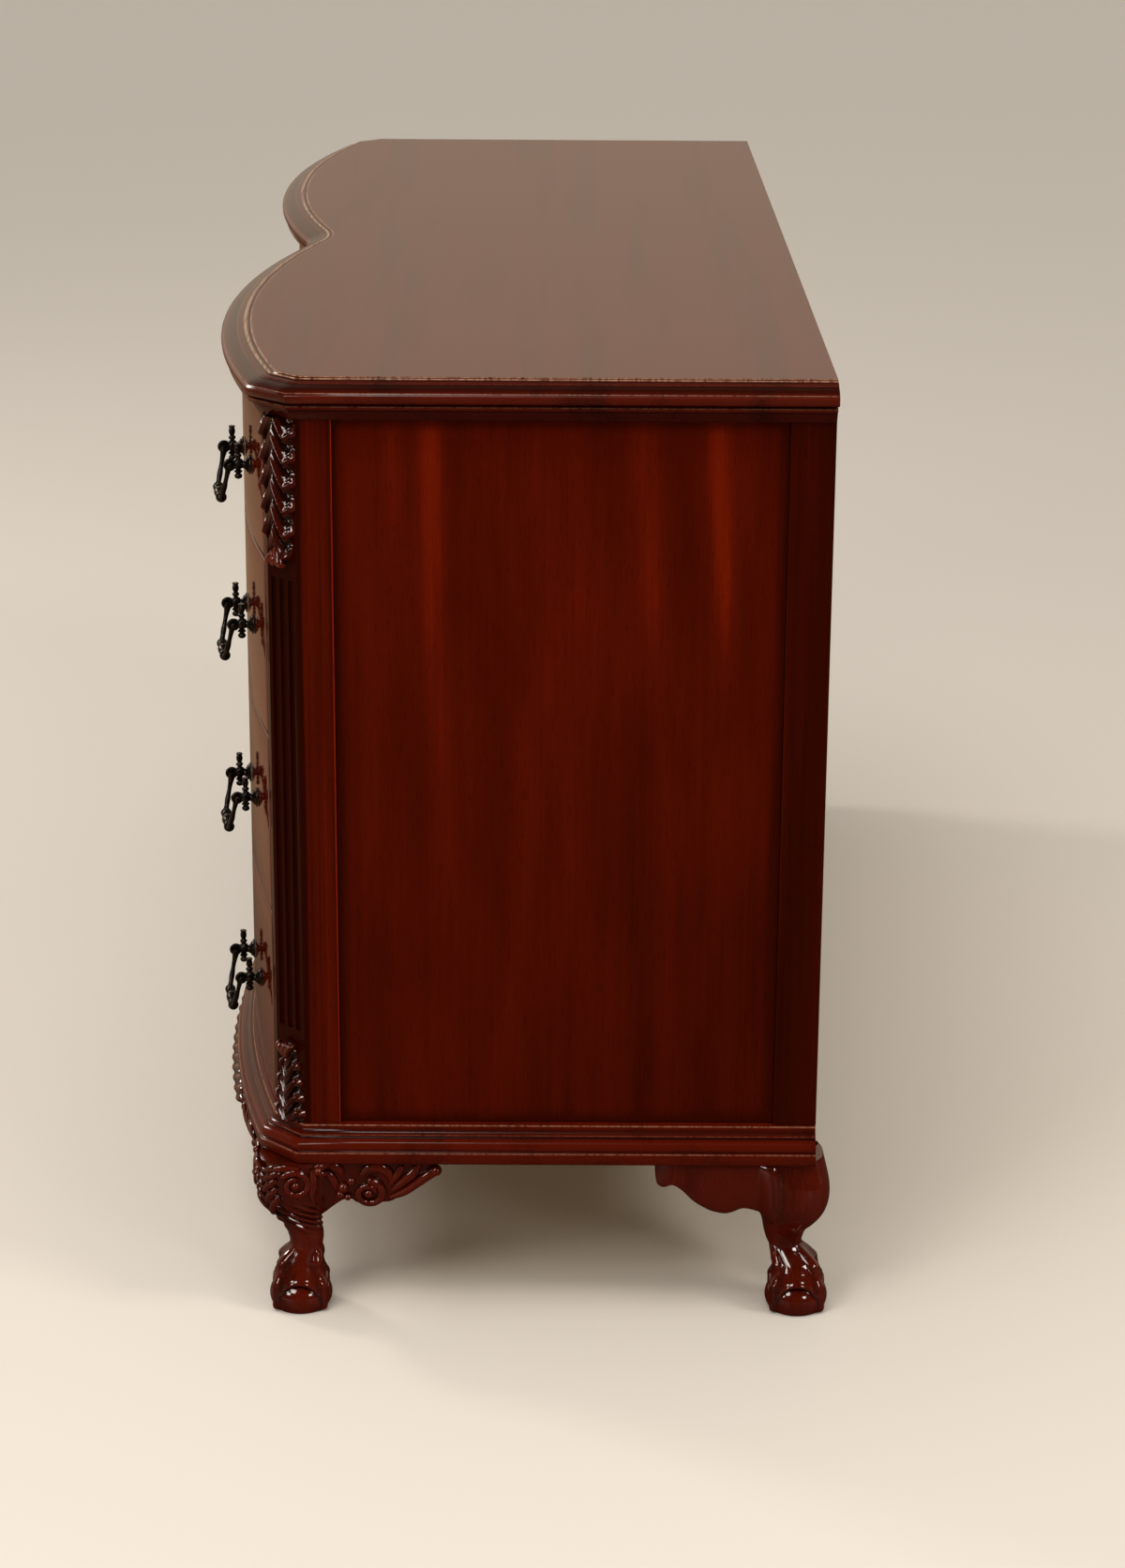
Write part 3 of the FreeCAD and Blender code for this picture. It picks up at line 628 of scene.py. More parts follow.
BASE_EDGE = ((1.8, 0, 0), (2.8, 0.5, -0.5), (3.2, 1.3, -0.2), (3.3, 2.4, 0.2), (3.9, 4.3, 0.6), (5.2, 6.2, 0.7),
             (7.2, 7.7, 0.3), (8.2, 8.1, -0.45), (8.5, 8.7, 0.5), (8.7, 9.5, 1), (9.6, 10.3, 0.8), (11.4, 10.8, 0),
             (13.4, 11.8, 0), (15.1, 13.3, 0), (16.1, 15.4, 0), (16.4, 17.6, 0), (15.8, 19.6, 0.1),
             (15.1, 20.9, 0.8), (15.6, 21.5, 0.4), (17, 22, -0.45), (17.8, 22.6, -0.2), (18, 23.8, 0.15),
             (18, 28, 0.2), (17.8, 30.6, 0.2), (17, 32.2, 0.2), (16.2, 33, 0.7))
# How far the top board's flat face ends inside the case plan, in mm
TOP_FLAT_FRONT = -10.0
TOP_FLAT_SIDE = -3.0
TOP_FLAT_CANT = -6.0
# Width of an eased arris, its steps and the angle in degrees from which an edge is eased, and how far the rear face
# of a moulding frame is set in, in mm
ARRIS = 0.7
ARRIS_STEPS = 2
ARRIS_ANGLE = 30.0
FRAME_REAR_STEP = 0.5


def plan_numbers():
    """Bow centre x and y, bow radius, and how far the bow's centre lies from the notch's."""
    bow_x = HALF_WIDTH - sizes().bow_inset
    apart = (bow_x**2 + sizes().notch_depth**2) / (2 * sizes().notch_depth)
    radius = apart - sizes().notch_radius
    return bow_x, FRONT_Y + radius, radius, apart


def bow_face(x, inward=0.0):
    """Where the right-hand bow's face lies at x, moved inwards: y = middle - sqrt((radius - inward)^2 - across^2)."""
    bow_x, bow_y, radius, apart = plan_numbers()
    return bow_y - np.sqrt((radius - inward)**2 - (x - bow_x)**2)


def bow_arc(offset, first_x, last_x, count):
    """Points of the right-hand bow, moved outwards by offset, from one x to another."""
    bow_x, bow_y, radius, apart = plan_numbers()
    reach = radius + offset
    turn = np.linspace(math.asin((first_x - bow_x) / reach), math.asin((last_x - bow_x) / reach), count)
    return np.stack((bow_x + reach * np.sin(turn), bow_y - reach * np.cos(turn)), axis=1)


def cant_ends(front, side, cant):
    """Ends of the canted corner for the three offsets: on the case side, and on the bow."""
    bow_x, bow_y, radius, apart = plan_numbers()
    shift = HALF_WIDTH - FRONT_Y - sizes().cant_setback + cant * math.sqrt(2)
    side_x = HALF_WIDTH + side
    half_sum = (bow_x + shift + bow_y) / 2
    rest = bow_x**2 + (shift + bow_y)**2 - (radius + front)**2
    corner_x = half_sum - math.sqrt(half_sum**2 - rest / 2)
    return np.array(((side_x, side_x - shift), (corner_x, corner_x - shift)))


def case_plan(front, side, cant):
    """Outline of the case from above, from the right rear corner round the front to the left rear corner.

    Straight sides, 45-degree cants, two bows of one radius, and a hollow between them that meets both
    without a kink, each moved outwards by its offset.
    """
    bow_x, bow_y, radius, apart = plan_numbers()
    shoulder, corner = cant_ends(front, side, cant)
    rear = np.array((shoulder[0], BACK_Y))
    sine = bow_x / apart
    turn_x = bow_x - (radius + front) * sine
    swing = np.linspace(math.asin(sine), 0, NOTCH_STEPS)
    hollow = sizes().notch_radius - front
    notch_y = bow_y - apart * math.sqrt(1 - sine**2)
    parts = (along((rear, shoulder), SIDE_STEPS)[:-1],
             along((shoulder, corner), CANT_STEPS)[:-1],
             bow_arc(front, corner[0], turn_x, BOW_STEPS)[:-1],
             np.stack((hollow * np.sin(swing), notch_y + hollow * np.cos(swing)), axis=1))
    half = np.concatenate(parts)
    return np.concatenate((half, (half * (-1, 1))[-2::-1]))


def moulded_rings(edge, top, start=(0.0, 0.0, 0.0)):
    """Rings of the case plan at the profile's heights, each moved out by the profile, (rows, columns, 3)."""
    rings = []
    for out, down, wear_and_painted_light in np.array(edge) * MM:
        plan = case_plan(*(out + s * MM for s in start))
        rings.append(np.column_stack((plan, np.full(len(plan), top - down))))
    return np.array(rings)


def shade_and_wear_rows(edge):
    """The wear values of a profile as a column."""
    return np.array(edge)[:, 2:3]


def top_board(finish):
    """The top: the edge profile carried round the plan, closed above and below by flat faces."""
    shell = Shell()
    rings = moulded_rings(TOP_EDGE, TOP_Z, (TOP_FLAT_FRONT, TOP_FLAT_SIDE, TOP_FLAT_CANT))
    shell.grid(rings, round_columns=True, shade_and_wear=shade_and_wear_rows(TOP_EDGE), ends=(True, True))
    return shell.build("top_board_dressed", finish, "case", "mahogany_top", ("top_board",))


def moulded_frame(name, edge, top, finish):
    """A moulding frame: the profile round the plan outside, and a plain box-shaped hole inside.

    Its rear face is set in a step from the boards that end there.
    """
    rings = moulded_rings(edge, top)
    rings[..., 1] = np.minimum(rings[..., 1], BACK_Y - FRAME_REAR_STEP * MM)
    inner = rings[[-1, 0]].copy()
    inner[..., 0] = np.clip(inner[..., 0], -POST_INNER_X, POST_INNER_X)
    inner[..., 1] = np.clip(inner[..., 1], POST_BACK_Y, REAR_POST_Y)
    shell = Shell()
    wear_and_painted_light = np.concatenate((shade_and_wear_rows(edge), np.zeros((len(inner), 1))))
    shell.grid(np.concatenate((rings, inner)), round_rows=True, round_columns=True, shade_and_wear=wear_and_painted_light)
    return shell.build(name + "_dressed", finish, "case", "mahogany", (name,))


def eased_node(name, finish):
    """A solid of the frame with its finish and with slightly rounded arrises."""
    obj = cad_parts[name]
    obj.data.materials.clear()
    obj.data.materials.append(finish)
    weld = obj.modifiers.new("Weld", "WELD")
    weld.merge_threshold = MERGE_DISTANCE
    ease = obj.modifiers.new("Eased edges", "BEVEL")
    ease.width = ARRIS * MM
    ease.segments = ARRIS_STEPS
    ease.limit_method = "ANGLE"
    ease.angle_limit = math.radians(ARRIS_ANGLE)
    ease.harden_normals = True
    return obj


# Drawer fronts: points along the bow and up the face, points round an edge, and the edge's radius in mm
FRONT_STEPS = 60
FRONT_FACE_ROWS = 6
FRONT_ROUND_STEPS = 5
FRONT_EDGE_RADIUS = 2.6


def rounded_run(low, high, radius, steps):
    """Places from low to high, close together at both ends, and how far a rounded edge lies back at each."""
    turn = np.linspace(0, math.pi / 2, FRONT_ROUND_STEPS)
    near = radius * (1 - np.cos(turn))
    back = radius * (1 - np.sin(turn))
    middle = np.linspace(low + radius, high - radius, steps)[1:-1]
    return np.concatenate((low + near, middle, high - near[::-1])), np.concatenate((back, 0 * middle, back[::-1]))


def drawer_front(row, side, change, finish):
    """A bowed drawer front with rounded edges, drawn on the right and put in its place by change."""
    low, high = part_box("drawer_front_%d_right" % row)
    edge = FRONT_EDGE_RADIUS * MM
    x, end_back = rounded_run(low.x, high.x, edge, FRONT_STEPS)
    z, rim_back = rounded_run(low.z, high.z, edge, FRONT_FACE_ROWS)
    face = np.maximum(end_back[:, None], rim_back[None, :])
    rear = np.full((len(x), 1), sizes().front_thickness)
    depth = np.concatenate((rear, face, rear), axis=1)
    height = np.concatenate((z[:1], z, z[-1:]))
    shell = Shell()
    shell.grid(stacked(x[:, None], bow_face(x[:, None], depth), height), round_columns=True, ends=(True, True))
    body = "drawer_%d_%s" % (row, side)
    name = "drawer_front_%d_%s" % (row, side)
    return copies(shell, change).build(name + "_dressed", finish, body, "drawer_front_mahogany", (name,))


# Carving

# Points along and across a leaf
LEAF_ROWS = 230
LEAF_COLUMNS = 49

# Lobes of a leaf: how many lobes they slant by from midrib to edge, how strongly and from where their ends curl
# back, where the crest lies in each lobe, how deep the cuts are near the midrib, near the edge and in the outline,
# the veins of a lobe and their height, how much narrower the tip is, how flat the leaf is across, as a power,
# and how much glaze and painted shade the whole leaf and its cuts get
LOBE_SLANT = 1.5
LOBE_CURL = 4.5
LOBE_CURL_FROM = 0.62
CREST_SHARE = 0.7
CUT_NEAR_RIB = 0.3
CUT_NEAR_EDGE = 0.85
SCALLOP = 0.2
VEINS = 3
VEIN_SHARE = 0.1
LEAF_TAPER = 0.18
LEAF_FLAT = 5
LEAF_GLAZE_SHADE = 0.5
CUT_GLAZE_SHADE = 1.2


def lobe_rise(phase):
    """Height of a lobe from its upper edge to its lower: a slow rise to the crest, then a quick fall, 0 to 1."""
    share = phase % 1
    fall = np.clip((share - CREST_SHARE) / (1 - CREST_SHARE), 0, 1)
    return np.where(share < CREST_SHARE, smooth_step(share / CREST_SHARE), np.sqrt(1 - fall**2))


def lobe_phase(t, side, lobes):
    """Which lobe a point lies in, and how far down that lobe: lines slant outwards and curl back at the edge."""
    curl = np.clip(side - LOBE_CURL_FROM, 0, None)**2
    return lobes * t - LOBE_SLANT * side + LOBE_CURL * curl


def leaf_surface(shell, place, leaf_length, half_width, thickness, lobes, blunt):
    """A carved leaf as one surface over t from root to tip and u from edge to edge, closed by a flat back.

    out = thickness * pillow * relief, where overlapping slanted lobes cut the relief, most near the edges,
    and the outline is scalloped by the same lobes; place turns (across, along, out) into points.
    """
    t = np.linspace(0, 1, LEAF_ROWS)[:, None]
    u = np.linspace(-1, 1, LEAF_COLUMNS)[None, :]
    side = np.abs(u)
    phase = lobe_phase(t, side, lobes)
    cut = CUT_NEAR_RIB + (CUT_NEAR_EDGE - CUT_NEAR_RIB) * smooth_step(side / LOBE_CURL_FROM)
    cut = cut * (1 - lobe_rise(phase))
    veins = VEIN_SHARE * np.cos(2 * math.pi * VEINS * phase) * np.sqrt(side)
    edge = 1 - SCALLOP * (1 - lobe_rise(lobe_phase(t, 1.0, lobes))) * side
    across = u * half_width * dome(t, blunt) * (1 - LEAF_TAPER * t) * edge
    out = thickness * dome(side, LEAF_FLAT) * dome(t, blunt) * (1 - cut + veins)
    run = np.broadcast_to(t * leaf_length, across.shape)
    # Glaze and painted shade over the whole leaf, darkest in the cuts
    shell.grid(place(across, run, out), shade_and_wear=np.clip(LEAF_GLAZE_SHADE + CUT_GLAZE_SHADE * cut, 0, 1))
    shell.grid(place(across[:, [-1, 0]], run[:, :2], np.zeros((LEAF_ROWS, 2))))


# A raised band: points along and round it, its least radius as a share of the greatest, and the share of its height
# at which the glaze and painted shade, full at its foot, end
LOBE_STEPS = 34
LOBE_TURNS = 12
LEAST_RADIUS = 0.05
FOOT_GLAZE_SHADE_HEIGHT = 0.85


def laid_band(shell, place, line, size, flat=1.0):
    """A round band along (across, along, out) points laid on a surface by place, with glaze and painted shade dark at
    its foot.
    """
    path = place(*line.T)
    outward = place(*(line + (0, 0, 1)).T) - path
    glaze = np.clip(1 - np.sin(full_turn(LOBE_TURNS)) / FOOT_GLAZE_SHADE_HEIGHT, 0, 1)
    tube(shell, path, size, LOBE_TURNS, outward, shade_and_wear=glaze, flat=flat)


def laid_ridge(shell, place, line, radius, flat=1.0):
    """A band through a few points, with a radius at each of them."""
    size = np.maximum(run_through(radius, LOBE_STEPS), LEAST_RADIUS * max(radius))
    laid_band(shell, place, curve_through(line, LOBE_STEPS), size, flat)


# The curled tips at a leaf's end as (across, along, out) and radius, in shares of its half width, for a lean of 1
TIP_LEANS = (-0.45, 0.0, 0.45)
TIP_LINE = ((0.0, -0.9, 0.3), (0.4, -0.5, 0.45), (0.9, -0.15, 0.5), (1.3, 0.0, 0.3))
TIP_RADIUS = (0.12, 0.2, 0.21, 0.1)


def acanthus(shell, place, leaf_length, half_width, thickness, lobes, blunt):
    """A carved acanthus leaf: the lobed surface, and three curled tips at its end."""
    leaf_surface(shell, place, leaf_length, half_width, thickness, lobes, blunt)
    tip = (1 - LEAF_TAPER) * half_width
    for lean in TIP_LEANS:
        line = np.array(TIP_LINE) * (lean, 1, 1) * tip + (0, leaf_length, 0)
        laid_ridge(shell, place, line, np.array(TIP_RADIUS) * tip)


def cant_placer(root_z, direction):
    """Puts leaf coordinates on the right-hand canted face: across along the cant, along up or down, out of it."""
    side_end, bow_end = cant_ends(0.0, 0.0, 0.0)
    middle = (side_end + bow_end) / 2
    run = unit(side_end - bow_end)

    def place(across, along_leaf, out):
        x = middle[0] + run[0] * across + run[1] * out
        y = middle[1] + run[1] * across - run[0] * out
        return stacked(x, y, root_z + direction * along_leaf)
    return place


# Leaves as (length, half width, thickness) in mm, the number of lobes, how blunt the end is, as a power, and the
# crease angle in degrees
UPPER_LEAF = (130.0, 21.5, 12.0)
UPPER_LOBES = 6
UPPER_BLUNT = 12.0
LOWER_LEAF = (74.0, 19.5, 10.0)
LOWER_LOBES = 5
LOWER_BLUNT = 2.4
LEAF_CREASE = 70.0


def corner_leaves(finish):
    """The carved leaves at the head and foot of both canted corners."""
    one = Shell()
    for root_z, direction, size, lobes, blunt in ((LEAVES_HIGH.z, -1, UPPER_LEAF, UPPER_LOBES, UPPER_BLUNT),
                                                  (LEAVES_LOW.z, 1, LOWER_LEAF, LOWER_LOBES, LOWER_BLUNT)):
        acanthus(one, cant_placer(root_z, direction), *(v * MM for v in size), lobes, blunt)
    both = copies(one, unchanged, flipped)
    return both.build("corner_leaves", finish, "case", "carved_mahogany", ("corner_carvings",), crease=LEAF_CREASE)


# Reeded strip: its offsets from the case front, how far it laps the cants and how long its ends taper, in mm
STRIP_INNER = 4.0
STRIP_OUTER = 24.0
STRIP_LAP = 12.0
STRIP_TAPER = 30.0
# Steps along a reed and round the strip, how deep the reeds are cut and how many they slant by, how thick the strip
# starts at its ends, its glaze and painted shade, how far and from which height its crests are rubbed pale as wear
# with a painted highlight, and the crease angle in degrees
REED_STEPS = 22
ROPE_TURNS = 20
ROPE_CUT = 0.42
ROPE_SLANT = 0.75
STRIP_END = 0.3
STRIP_GLAZE_SHADE = 0.75
CREST_RUB_HIGHLIGHT = 1.4
CREST_FROM = 0.96
STRIP_CREASE = 75.0


def gadroon_strip(finish):
    """The reeded strip: a round section along the front, its radius scalloped in slanted reeds like a rope.

    radius = full * (1 - cut * (1 - sqrt(wave))), wave = |sin(pi * (distance / pitch + slant * sin(angle)))|.
    """
    middle_out = (STRIP_INNER + STRIP_OUTER) / 2 * MM
    half_out = (STRIP_OUTER - STRIP_INNER) / 2 * MM
    half_up = (GADROON_HIGH.z - GADROON_LOW.z) / 2
    plan = case_plan(middle_out, middle_out, middle_out)
    kept = plan[(np.abs(plan[:, 0]) < GADROON_HIGH.x + STRIP_LAP * MM) & (plan[:, 1] < 0)]
    run = np.linalg.norm(np.diff(kept, axis=0), axis=1).sum()
    count = int(run / sizes().reed_pitch * REED_STEPS)
    path = along(kept, count)
    direction = unit(np.gradient(path, axis=0))
    outward = np.stack((-direction[:, 1], direction[:, 0]), axis=1)
    outward *= np.where(outward[:, 1:2] > 0, -1, 1)
    distance = np.linspace(0, run, count)[:, None]
    angle = full_turn(ROPE_TURNS)[None, :]
    slant = np.sign(path[:, 0:1] + TINY) * ROPE_SLANT * np.sin(angle)
    wave = np.abs(np.sin(math.pi * (distance / sizes().reed_pitch + slant)))
    from_end = np.minimum(distance, run - distance)
    full = (1 - ROPE_CUT * (1 - np.sqrt(wave))) * smooth_step(STRIP_END + from_end / (STRIP_TAPER * MM))
    out = half_out * full * np.cos(angle)
    up = half_up * full * np.sin(angle)
    x = path[:, 0:1] + outward[:, 0:1] * out
    y = path[:, 1:2] + outward[:, 1:2] * out
    points = stacked(x, y, (GADROON_HIGH.z + GADROON_LOW.z) / 2 + up)
    # Glaze and painted shade all along the strip, with a pale line of wear and painted highlight on each crest
    glaze = STRIP_GLAZE_SHADE - CREST_RUB_HIGHLIGHT * np.clip((wave - CREST_FROM) / (1 - CREST_FROM), 0, 1)
    shell = Shell()
    shell.grid(points, round_columns=True, shade_and_wear=glaze, ends=(True, True))
    return shell.build("gadroon_strip_dressed", finish, "case", "carved_mahogany", ("gadroon_strip",),
                       crease=STRIP_CREASE)


# Legs, worked out in mm round the middle of the foot and turned to metres when placed

# Where the feet stand, from the case side, the front of the bow and the back
FOOT_SIDE_INSET = 12.0
FRONT_FOOT_SETBACK = 63.0
REAR_FOOT_INSET = 13.0

# Stem as (height, how far its middle leans outwards, radius), and the share of the lean that it has sideways
FRONT_STEM = ((152, 3, 32.5), (140, 5.5, 32), (128, 7, 31), (116, 7, 29.5), (104, 5.5, 26.8), (94, 2.5, 23.3),
              (86, -1, 20), (77, -4, 17.2), (68, -5.8, 15.8), (60, -5.2, 15), (53, -2.5, 14), (46, 0, 13),
              (40, 0, 12))
REAR_STEM = ((152, -8, 29.7), (138, -6.5, 31.7), (126, -4.5, 32.4), (115, -4, 32.5), (104, -5, 32), (94, -6, 29.2),
             (84, -8, 24.5), (75, -11, 20), (64, -11.5, 16.6), (58, -9.5, 15), (52, -5.5, 14), (46, -1.5, 13),
             (40, 0, 12))
FRONT_SIDE_LEAN = 0.1
REAR_SIDE_LEAN = 1.0
# Points up and round a stem, how square it is as a power, round up to a height and square a reach above it
STEM_ROWS = 120
STEM_TURNS = 72
ROUND_POWER = 2.1
SQUARE_POWER = 2.6
ROUND_HEIGHT = 60.0
SQUARE_REACH = 60.0
# Feather cuts: pitch, slope, depth, the height they are deepest at and how far they reach, how slowly they fade,
# as a power, the angle of the knee's corner that they slant from, and the glaze and painted shade on the ground above
# them
CUT_PITCH = 9.0
CUT_SLOPE = 0.7
CUT_DEPTH = 3.6
CUT_MIDDLE = 96.0
CUT_REACH = 24.0
CUT_FADE = 0.6
KNEE_CORNER = math.radians(315)
GROUND_GLAZE_SHADE = 0.35


def profile_at(profile, z):
    """The other columns of a (height, ...) profile, read off its smooth curve at the heights z."""
    curve = curve_through(profile, STEM_ROWS)[::-1].T
    return [np.interp(z, curve[0], column) for column in curve[1:]]


def squared_round(angle, power):
    """Radius of a round section pushed towards a square: 1 / (|cos|^p + |sin|^p)^(1/p)."""
    return (np.abs(np.cos(angle))**power + np.abs(np.sin(angle))**power)**(-1 / power)


def stem_power(z):
    """How square the stem is at a height: nearly round at the ankle, squarer at the knee."""
    return ROUND_POWER + (SQUARE_POWER - ROUND_POWER) * smooth_step((z - ROUND_HEIGHT) / SQUARE_REACH)


def leg_stem(shell, stem, side_lean, carved):
    """Cabriole stem: squared rounds that bow out towards the corner, with slanted feather cuts where carved.

    The cuts lower the radius by depth * wave, where the wave runs along height + slope * distance round.
    """
    z, lean, radius = (v[:, None] for v in curve_through(stem, STEM_ROWS).T)
    angle = full_turn(STEM_TURNS)[None, :]
    section = radius * squared_round(angle, stem_power(z))
    shade_and_wear = None
    if carved:
        turn = np.abs((angle - KNEE_CORNER + math.pi) % (2 * math.pi) - math.pi)
        rise = lobe_rise(-(z + CUT_SLOPE * radius * turn) / CUT_PITCH)
        cut = bump(z, CUT_MIDDLE, CUT_REACH)**CUT_FADE * (1 - rise)
        section = section - CUT_DEPTH * cut
        # Painted shade in the cuts, and glaze and painted shade on the ground above them
        shade_and_wear = np.maximum(cut, GROUND_GLAZE_SHADE * smooth_step((z - CUT_MIDDLE) / CUT_REACH))
    points = stacked(side_lean * lean + section * np.cos(angle), section * np.sin(angle) - lean, z)
    shell.grid(points, round_columns=True, shade_and_wear=shade_and_wear, ends=(True, True))


# The foot's skin as (height, radius), and its claws as (height, how far they stand out, half width)
SKIN = ((66, 14.8), (60, 15.4), (54, 16.8), (46, 19), (40, 21.2), (34, 23.4), (28, 25.2), (22, 26.4), (16, 27.4),
        (0, 28.4))
CLAW = ((66, 0, 4), (59, 1.2, 4.8), (53, 4.6, 6), (47, 6.4, 6.6), (41, 3.8, 5.6), (34, 3.4, 5.2), (27, 5.2, 6.4),
        (20, 3.8, 5.4), (12, 3, 4.6), (5, 2, 3.6), (0, 0.8, 2.6))
# How far a claw lies from the foot's side, how round it is, as a power, the painted shade beside it and how far it
# stands out where that is full
CLAW_SPREAD = math.radians(52)
CLAW_ROUND = 0.6
CLAW_SHADE = 0.5
CLAW_FULL = 3.0
# The ball's radius, middle and half height, and the lip above it: its lowest height beside a claw, its rise between
# two claws, how sharply it steps back, the angle of its straight side, and its roll
BALL_RADIUS = 28.8
BALL_MIDDLE = 12.0
BALL_HALF = 22.0
LIP_LOW = 2.0
LIP_RISE = 26.0
LIP_STEP = 1.8
LIP_SIDE = math.radians(6)
LIP_ROLL = 1.1
LIP_ROLL_HEIGHT = 2.6
# Points down and round a foot
FOOT_ROWS = 120
FOOT_TURNS = 128


def claw_foot(shell, stem, side_lean):
    """Ball and claw as one surface: radius = ball, or the skin above its lip, plus the claws.

    The claws are round ridges with two knuckles, spread to either side of the opening that shows the ball;
    between two claws the skin's rolled lip rises in a round arch. Its upper part leans with the stem.
    """
    z = np.linspace(SKIN[0][0], 0, FOOT_ROWS)[:, None]
    angle = full_turn(FOOT_TURNS)[None, :]
    skin = profile_at(SKIN, z)[0]
    stand, half = profile_at(CLAW, z)
    lean = profile_at(stem, z)[0]
    ball = BALL_RADIUS * dome((z - BALL_MIDDLE) / BALL_HALF, 2)
    from_side = np.arcsin(np.abs(np.sin(angle)))
    open_half = np.where(from_side < CLAW_SPREAD, CLAW_SPREAD, math.pi / 2 - CLAW_SPREAD)
    from_claw = np.abs(from_side - CLAW_SPREAD)
    lip = LIP_LOW + LIP_RISE * dome((open_half - from_claw) / (open_half - LIP_SIDE), 2)
    cover = smooth_step((z - lip) / LIP_STEP + 1 / 2)
    roll = LIP_ROLL * np.exp(-((z - lip - LIP_ROLL_HEIGHT) / LIP_ROLL_HEIGHT)**2)
    covered = np.minimum(skin + roll, BALL_RADIUS)
    radius = ball + (covered - ball) * cover
    apart = radius * from_claw
    # Painted shade under the lip and beside the claws
    shade_under_lip = np.exp(-((z - lip + LIP_STEP / 2) / LIP_STEP)**2) * (apart > half)
    shade_beside_claw = CLAW_SHADE * np.exp(-((apart - half) / LIP_STEP)**2) * np.clip(stand / CLAW_FULL, 0, 1)
    radius = radius + stand * np.clip(1 - (apart / half)**2, 0, 1)**CLAW_ROUND
    points = stacked(side_lean * lean + radius * np.cos(angle), radius * np.sin(angle) - lean, z)
    shell.grid(points, round_columns=True, shade_and_wear=np.clip(shade_under_lip + shade_beside_claw, 0, 1), ends=(True, True))


# Points down and round a bead
BEAD_ROWS = 9
BEAD_TURNS = 14


def bead(shell, place, a, z, radius, rise):
    """A round bead laid on a surface by place(a, z, out)."""
    centre = place(a, z, rise)
    bend = np.linspace(math.pi / 2, -math.pi / 2, BEAD_ROWS)
    profile = radius * np.stack((np.cos(bend), np.sin(bend)), axis=1)
    turned(shell, profile, centre, place(a, z, rise + 1) - centre, BEAD_TURNS)


# Brackets as (distance from the leg's middle, height of the lower edge), in mm
CARVED_BRACKET = ((12, 80), (21, 91), (32, 102), (41, 109), (48, 110), (53, 106), (63, 103), (75, 106), (84, 107.5),
                  (91, 112.5), (102, 123.5), (111, 130.5), (119, 133), (127, 136))
PLAIN_BRACKET = ((14, 82), (29, 91.5), (40, 97.5), (51, 100), (60, 95.5), (67, 93.5), (75, 95), (83, 98.5), (96, 108),
                 (107, 120.5), (116, 126.5), (124, 124.5), (130, 128), (132, 136))
# Points along and down a bracket, its depth, the length over which its tip thins, its swell and how flat that is,
# as a power, and how deep and over what length it sinks into the knee
BRACKET_ROWS = 80
BRACKET_COLUMNS = 17
BRACKET_DEPTH = 18.0
BRACKET_TIP = 12.0
CARVED_SWELL = 1.0
PLAIN_SWELL = 4.0
SWELL_FLAT = 6
BRACKET_SINK = 7.0
BRACKET_SINK_REACH = 14.0


def bracket_board(shell, place, lower, swell, top, glaze=0.0):
    """A shaped bracket: its face runs from the base down to the lower edge and swells in the middle, flat behind.

    Its end next to the leg sinks into the knee.
    """
    a, low = (v[:, None] for v in curve_through(lower, BRACKET_ROWS).T)
    v = np.linspace(0, 1, BRACKET_COLUMNS)[None, :]
    z = top - v * (top - low)
    leaf_end = smooth_step((a[-1] - a) / BRACKET_TIP)
    sunk = BRACKET_SINK * (1 - smooth_step((a - a[0]) / BRACKET_SINK_REACH))
    face = place(a, z, swell * dome(2 * v - 1, SWELL_FLAT) * leaf_end - sunk)
    back = place(a, z, -BRACKET_DEPTH)
    # The board's glaze and painted shade, the same all over its face
    shell.grid(np.concatenate((face, back[:, ::-1]), axis=1), round_columns=True, shade_and_wear=glaze, ends=(True, True))


# How softly knee and bracket run together, how far the side and front brackets stand proud, and the height below
# which they fall back and how fast, in mm
KNEE_BLEND = 6.0
SIDE_BOARD_PROUD = 4.0
BOW_BOARD_PROUD = 13.0
BOARD_FULL_HEIGHT = 142.0
SIDE_BOARD_FALL = 0.006
BOW_BOARD_FALL = 0.014


def board_fall(z, share):
    """How far a bracket's face lies back at a height: share times the square of the depth below its full height."""
    return share * np.clip(BOARD_FULL_HEIGHT - z, 0, None)**2


def face_placer(stem, side_lean, board, front):
    """Lays (a, z, out) on a leg's side or front: on the knee's round, or on the bracket where that is prouder.

    a runs from the leg's middle along the case, board(a, z) is how far the bracket stands from the foot's middle.
    """
    def place(a, z, out):
        lean, radius = profile_at(stem, z)
        ahead, beside = (lean, side_lean * lean) if front else (side_lean * lean, lean)
        power = stem_power(z)
        knee = ahead + np.clip(radius**power - np.abs(a + beside)**power, 0, None)**(1 / power)
        reach = KNEE_BLEND * np.logaddexp(knee / KNEE_BLEND, board(a, z) / KNEE_BLEND) + out
        return stacked(-a, -reach, z) if front else stacked(reach, a, z)
    return place


def side_board(a, z):
    """How far the side brackets stand out from the foot's middle."""
    return FOOT_SIDE_INSET + SIDE_BOARD_PROUD - board_fall(z, SIDE_BOARD_FALL)


def bow_board(foot_x, foot_y):
    """The same for the front brackets, which follow the bow."""
    def board(a, z):
        return (foot_y - bow_face(foot_x - a * MM)) / MM + BOW_BOARD_PROUD - board_fall(z, BOW_BOARD_FALL)
    return board


# Scrolls as (a, z) of the eye, first angle, turns, outer and inner radius of the middle line, radius of the band at
# both ends, rise, and the eye's radius, in mm and degrees
KNEE_SCROLL = ((-1.3, 132.0), 150, 1.2, 15.0, 6.2, 3.7, 2.4, 0.2, 4.0)
BRACKET_SCROLL = ((64.0, 117.5), 95, 1.2, 14.5, 7.0, 4.3, 2.8, 2.2, 4.6)
